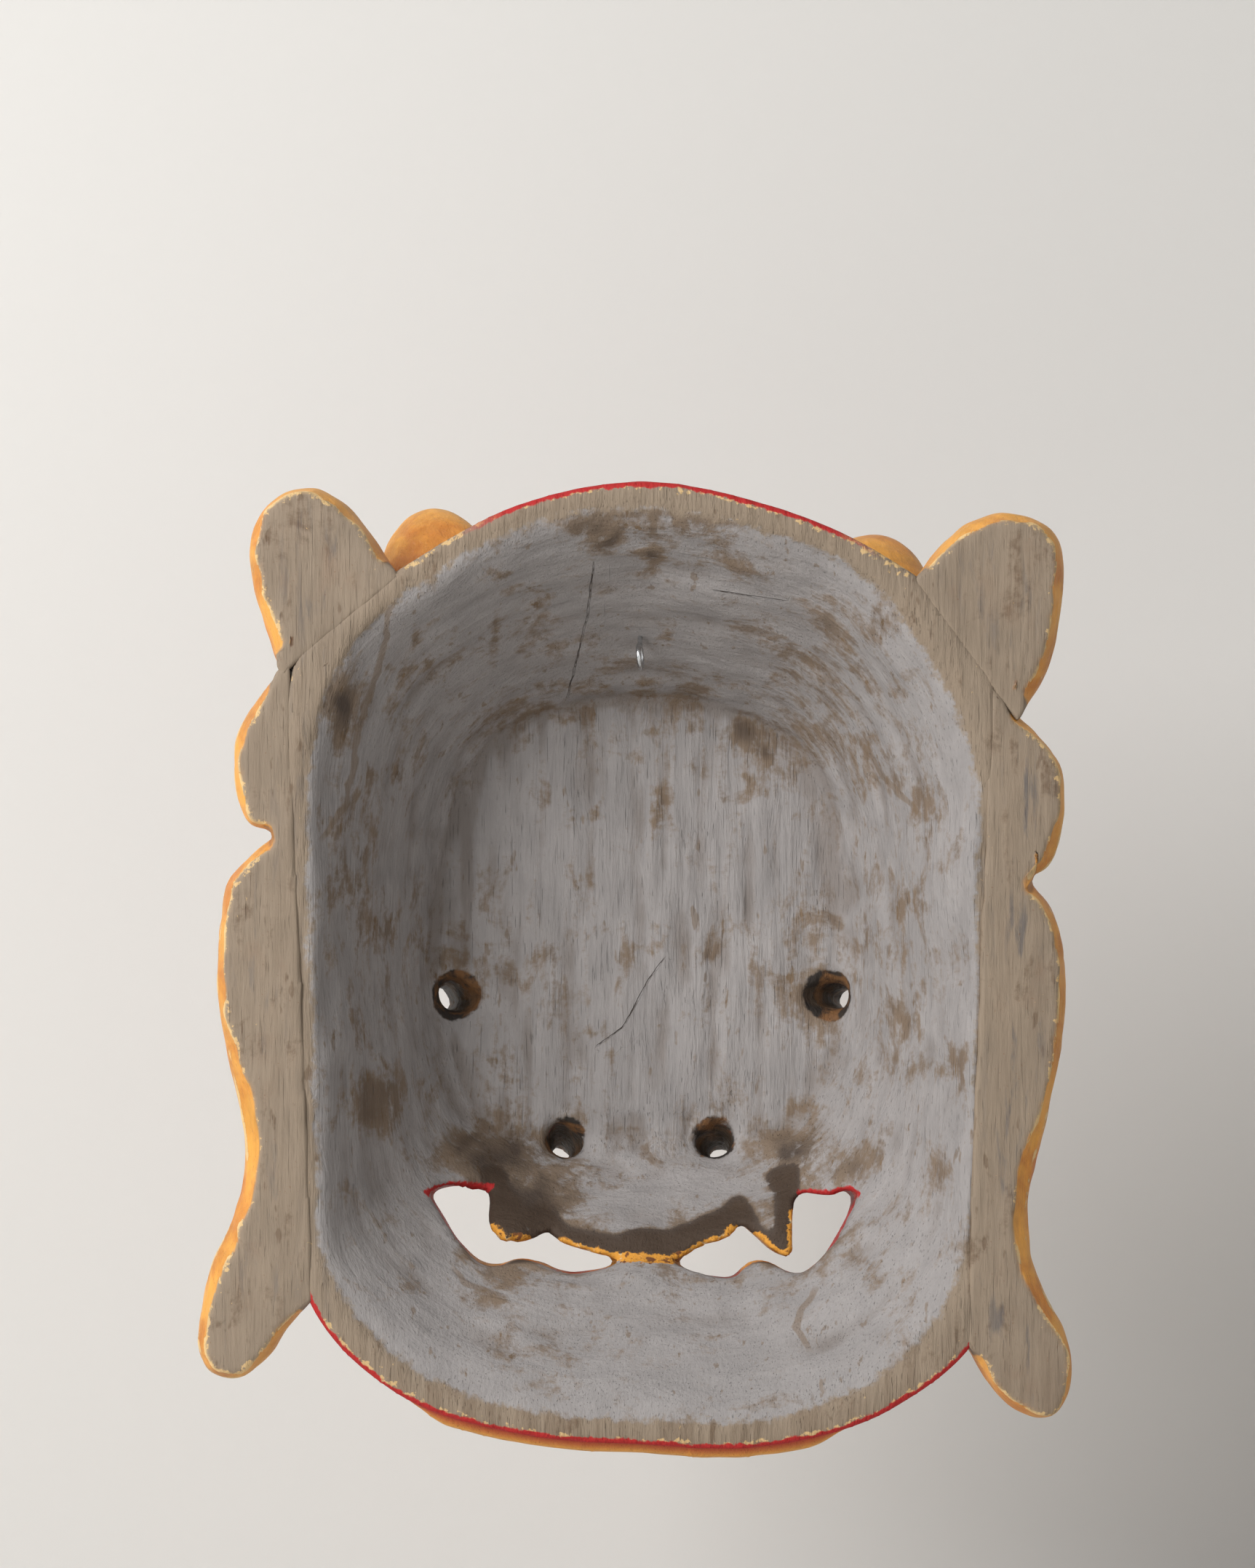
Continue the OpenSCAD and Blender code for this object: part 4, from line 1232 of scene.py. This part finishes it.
# Locks and ears: ochre over the sides and front, taupe on the backs.
def lockMaterial():
    made, nodes, shader, place = newMaterial("painted locks", 0.55)
    get = nodes.attribute
    rim = get("rim")
    edgeWear = nodes.step(get("edge"), 0.05, 0.45)
    grain = useGroup(nodes, grainGroup, Place=place)
    patch = nodes.step(nodes.noise(place, 42.0, 5.0, 0.6, 0.5), 0.4, 0.66)
    ochre = nodes.mix(patch, colors["ochre"], colors["ochreDeep"])
    ochre = nodes.mix(nodes.times(get("red"), 0.9), ochre, colors["lockRed"])
    along = streaks(nodes, place, 0.3)
    brush = useGroup(nodes, brushGroup, Place=place, Streak=along, Color=ochre, Strength=0.6)
    side = useGroup(nodes, wearGroup, Place=place, Paint=brush["Color"], Under=colors["chip"], Wear=-0.05,
                    Edge=edgeWear)
    backColor, backHeight = backPaint(nodes, place, grain, edgeWear, get("scuff"))
    color = nodes.mix(rim, side["Color"], backColor)
    # painted shade in dark ochre in the hollows, the grooves and along the foot, with dirt specks
    shadeAndGrime = useGroup(nodes, shadeAndGrimeGroup, Place=place, Color=color, Low=get("shadow"), Dirt=colors["ochreDark"],
                     Amount=0.6)
    nodes.feed(shader.inputs["Base Color"], shadeAndGrime["Color"])
    nodes.feed(shader.inputs["Roughness"], nodes.plus(0.45, nodes.times(rim, 0.3)))
    height = nodes.plus(nodes.mix(rim, brush["Height"], backHeight), nodes.times(grain["Height"], 0.5))
    height = nodes.plus(height, nodes.times(side["Height"], nodes.times(nodes.minus(1.0, rim), 0.3)))
    addBump(nodes, shader, height, 0.0007)
    return made


# Bright steel wire with fine drawn lines and a few dull spots.
def steelMaterial():
    made, nodes, shader, place = newMaterial("bright steel", 0.28)
    shader.inputs["Metallic"].default_value = 1.0
    spots = nodes.step(nodes.noise(place, 900.0, 3.0, 0.6), 0.55, 0.68)
    color = nodes.mix(nodes.times(spots, 0.5), colors["steel"], colors["steelDull"])
    nodes.feed(shader.inputs["Base Color"], color)
    nodes.feed(shader.inputs["Roughness"], nodes.plus(0.2, nodes.times(spots, 0.35)))
    addBump(nodes, shader, nodes.noise(place, 2500.0, 2.0, 0.5), 0.00004)
    return made


# Nail heads: dull iron with rust, and taupe paint over part of them.
def ironMaterial():
    made, nodes, shader, place = newMaterial("dull iron", 0.6)
    rust = nodes.step(nodes.noise(place, 500.0, 4.0, 0.6), 0.42, 0.62)
    painted = nodes.step(nodes.noise(place, 260.0, 3.0, 0.6), 0.44, 0.52)
    color = nodes.mix(rust, colors["iron"], colors["rust"])
    nodes.feed(shader.inputs["Base Color"], nodes.mix(painted, color, colors["rim"]))
    nodes.feed(shader.inputs["Metallic"], nodes.times(nodes.minus(1.0, painted), 0.5))
    addBump(nodes, shader, nodes.noise(place, 1200.0, 3.0, 0.6), 0.0001)
    return made


facePaint, lockPaint, steel, iron = blockMaterial(), lockMaterial(), steelMaterial(), ironMaterial()


def dress(piece, material):
    piece.data.materials.clear()
    piece.data.materials.append(material)


dress(carvedFace, facePaint)
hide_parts("face_shell")
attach(carvedFace, "root")
for name, piece in list(lockPieces.items()) + list(earPieces.items()):
    dress(piece, lockPaint)
    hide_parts(name)
    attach(piece, "root")
for name, material in (("screw_eye", steel), ("left_lock_nail", iron), ("right_lock_nail", iron),
                       ("mane_nails", iron)):
    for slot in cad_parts[name].material_slots:
        slot.material = material
print("materials are on")


stage = {
    "ground": (214, 212, 208),
    # place, aim, size and watts of each lamp
    "key": ((1.25, 1.35, 0.75), (0, 0, -0.11), 1.1, 44.0),
    "fill": ((-1.3, 1.3, -0.2), (0, 0, -0.11), 1.4, 3.0),
    "front key": ((-1.0, -1.5, 0.8), (0, -0.05, -0.11), 1.2, 24.0),
    "air": 0.3,             # light from all round
    "paleAir": 0.82,        # how bright the air itself looks
    "farGround": 0.62,      # how bright the far ground looks
    "camera": (0.0046, 1.29856, -0.0463),
    "lens": 81.85,
}


# A pale wall behind the hanging mask and a pale floor below it. They show, and take shadow, only from the
# side of the hollow and from above, so other sides of the mask stay in view.
def makeStage():
    wide, wallY, floorZ = 5.0, -0.35, -0.43
    mesh = bpy.data.meshes.new("backdrop")
    wall = [(-wide, wallY, floorZ), (-wide, wallY, wide), (wide, wallY, wide), (wide, wallY, floorZ)]
    ground = [(-wide, -wide, floorZ), (wide, -wide, floorZ), (wide, wide, floorZ), (-wide, wide, floorZ)]
    mesh.from_pydata(wall + ground, [], [(0, 1, 2, 3), (4, 5, 6, 7)])
    backdrop = bpy.data.objects.new("backdrop", mesh)
    bpy.context.scene.collection.objects.link(backdrop)
    made, nodes, shader, place = newMaterial("pale backdrop", 0.85)
    shader.inputs["Base Color"].default_value = paint(*stage["ground"])
    # far from the lamps the ground glows for whoever looks at it, without lighting the mask
    away = nodes.add("ShaderNodeVectorMath", operation="LENGTH")
    nodes.feed(away.inputs[0], place)
    far = nodes.step(away.outputs["Value"], 0.7, 3.2)
    shader.inputs["Emission Color"].default_value = paint(*stage["ground"])
    glow = nodes.times(nodes.times(far, seenDirectly(nodes)), stage["farGround"])
    nodes.feed(shader.inputs["Emission Strength"], glow)
    clear = nodes.add("ShaderNodeBsdfTransparent")
    seen = nodes.add("ShaderNodeMixShader")
    nodes.feed(seen.inputs[0], nodes.add("ShaderNodeNewGeometry").outputs["Backfacing"])
    nodes.feed(seen.inputs[1], shader.outputs[0])
    nodes.feed(seen.inputs[2], clear.outputs[0])
    output = [node for node in made.node_tree.nodes if node.type == "OUTPUT_MATERIAL"][0]
    nodes.feed(output.inputs["Surface"], seen.outputs[0])
    mesh.materials.append(made)


def addLamp(name, place, target, size, power):
    lamp = bpy.data.lights.new(name, "AREA")
    lamp.size = size
    lamp.energy = power
    made = bpy.data.objects.new(name, lamp)
    made.location = place
    aim = np.array(target) - np.array(place)
    made.rotation_euler = Vector(aim).to_track_quat("-Z", "Y").to_euler()
    bpy.context.scene.collection.objects.link(made)


makeStage()
for name in ("key", "fill", "front key"):
    addLamp(name, *stage[name])
world = bpy.data.worlds.new("air")
world.use_nodes = True
air = world.node_tree.nodes["Background"]
air.inputs["Color"].default_value = (1, 1, 1, 1)
skyNodes = Nodes(world.node_tree)
shown = skyNodes.times(seenDirectly(skyNodes), stage["paleAir"] - stage["air"])
strength = skyNodes.plus(stage["air"], shown)
skyNodes.feed(air.inputs["Strength"], strength)
bpy.context.scene.world = world
bpy.context.scene.view_settings.view_transform = "Standard"

lens = bpy.data.cameras.new("camera")
lens.sensor_fit = "VERTICAL"
lens.sensor_height = 36
lens.lens = stage["lens"]
camera = bpy.data.objects.new("camera", lens)
camera.location = stage["camera"]
camera.rotation_euler = (math.pi / 2, 0, math.pi)
bpy.context.scene.collection.objects.link(camera)
bpy.context.scene.camera = camera
print("stage is set")
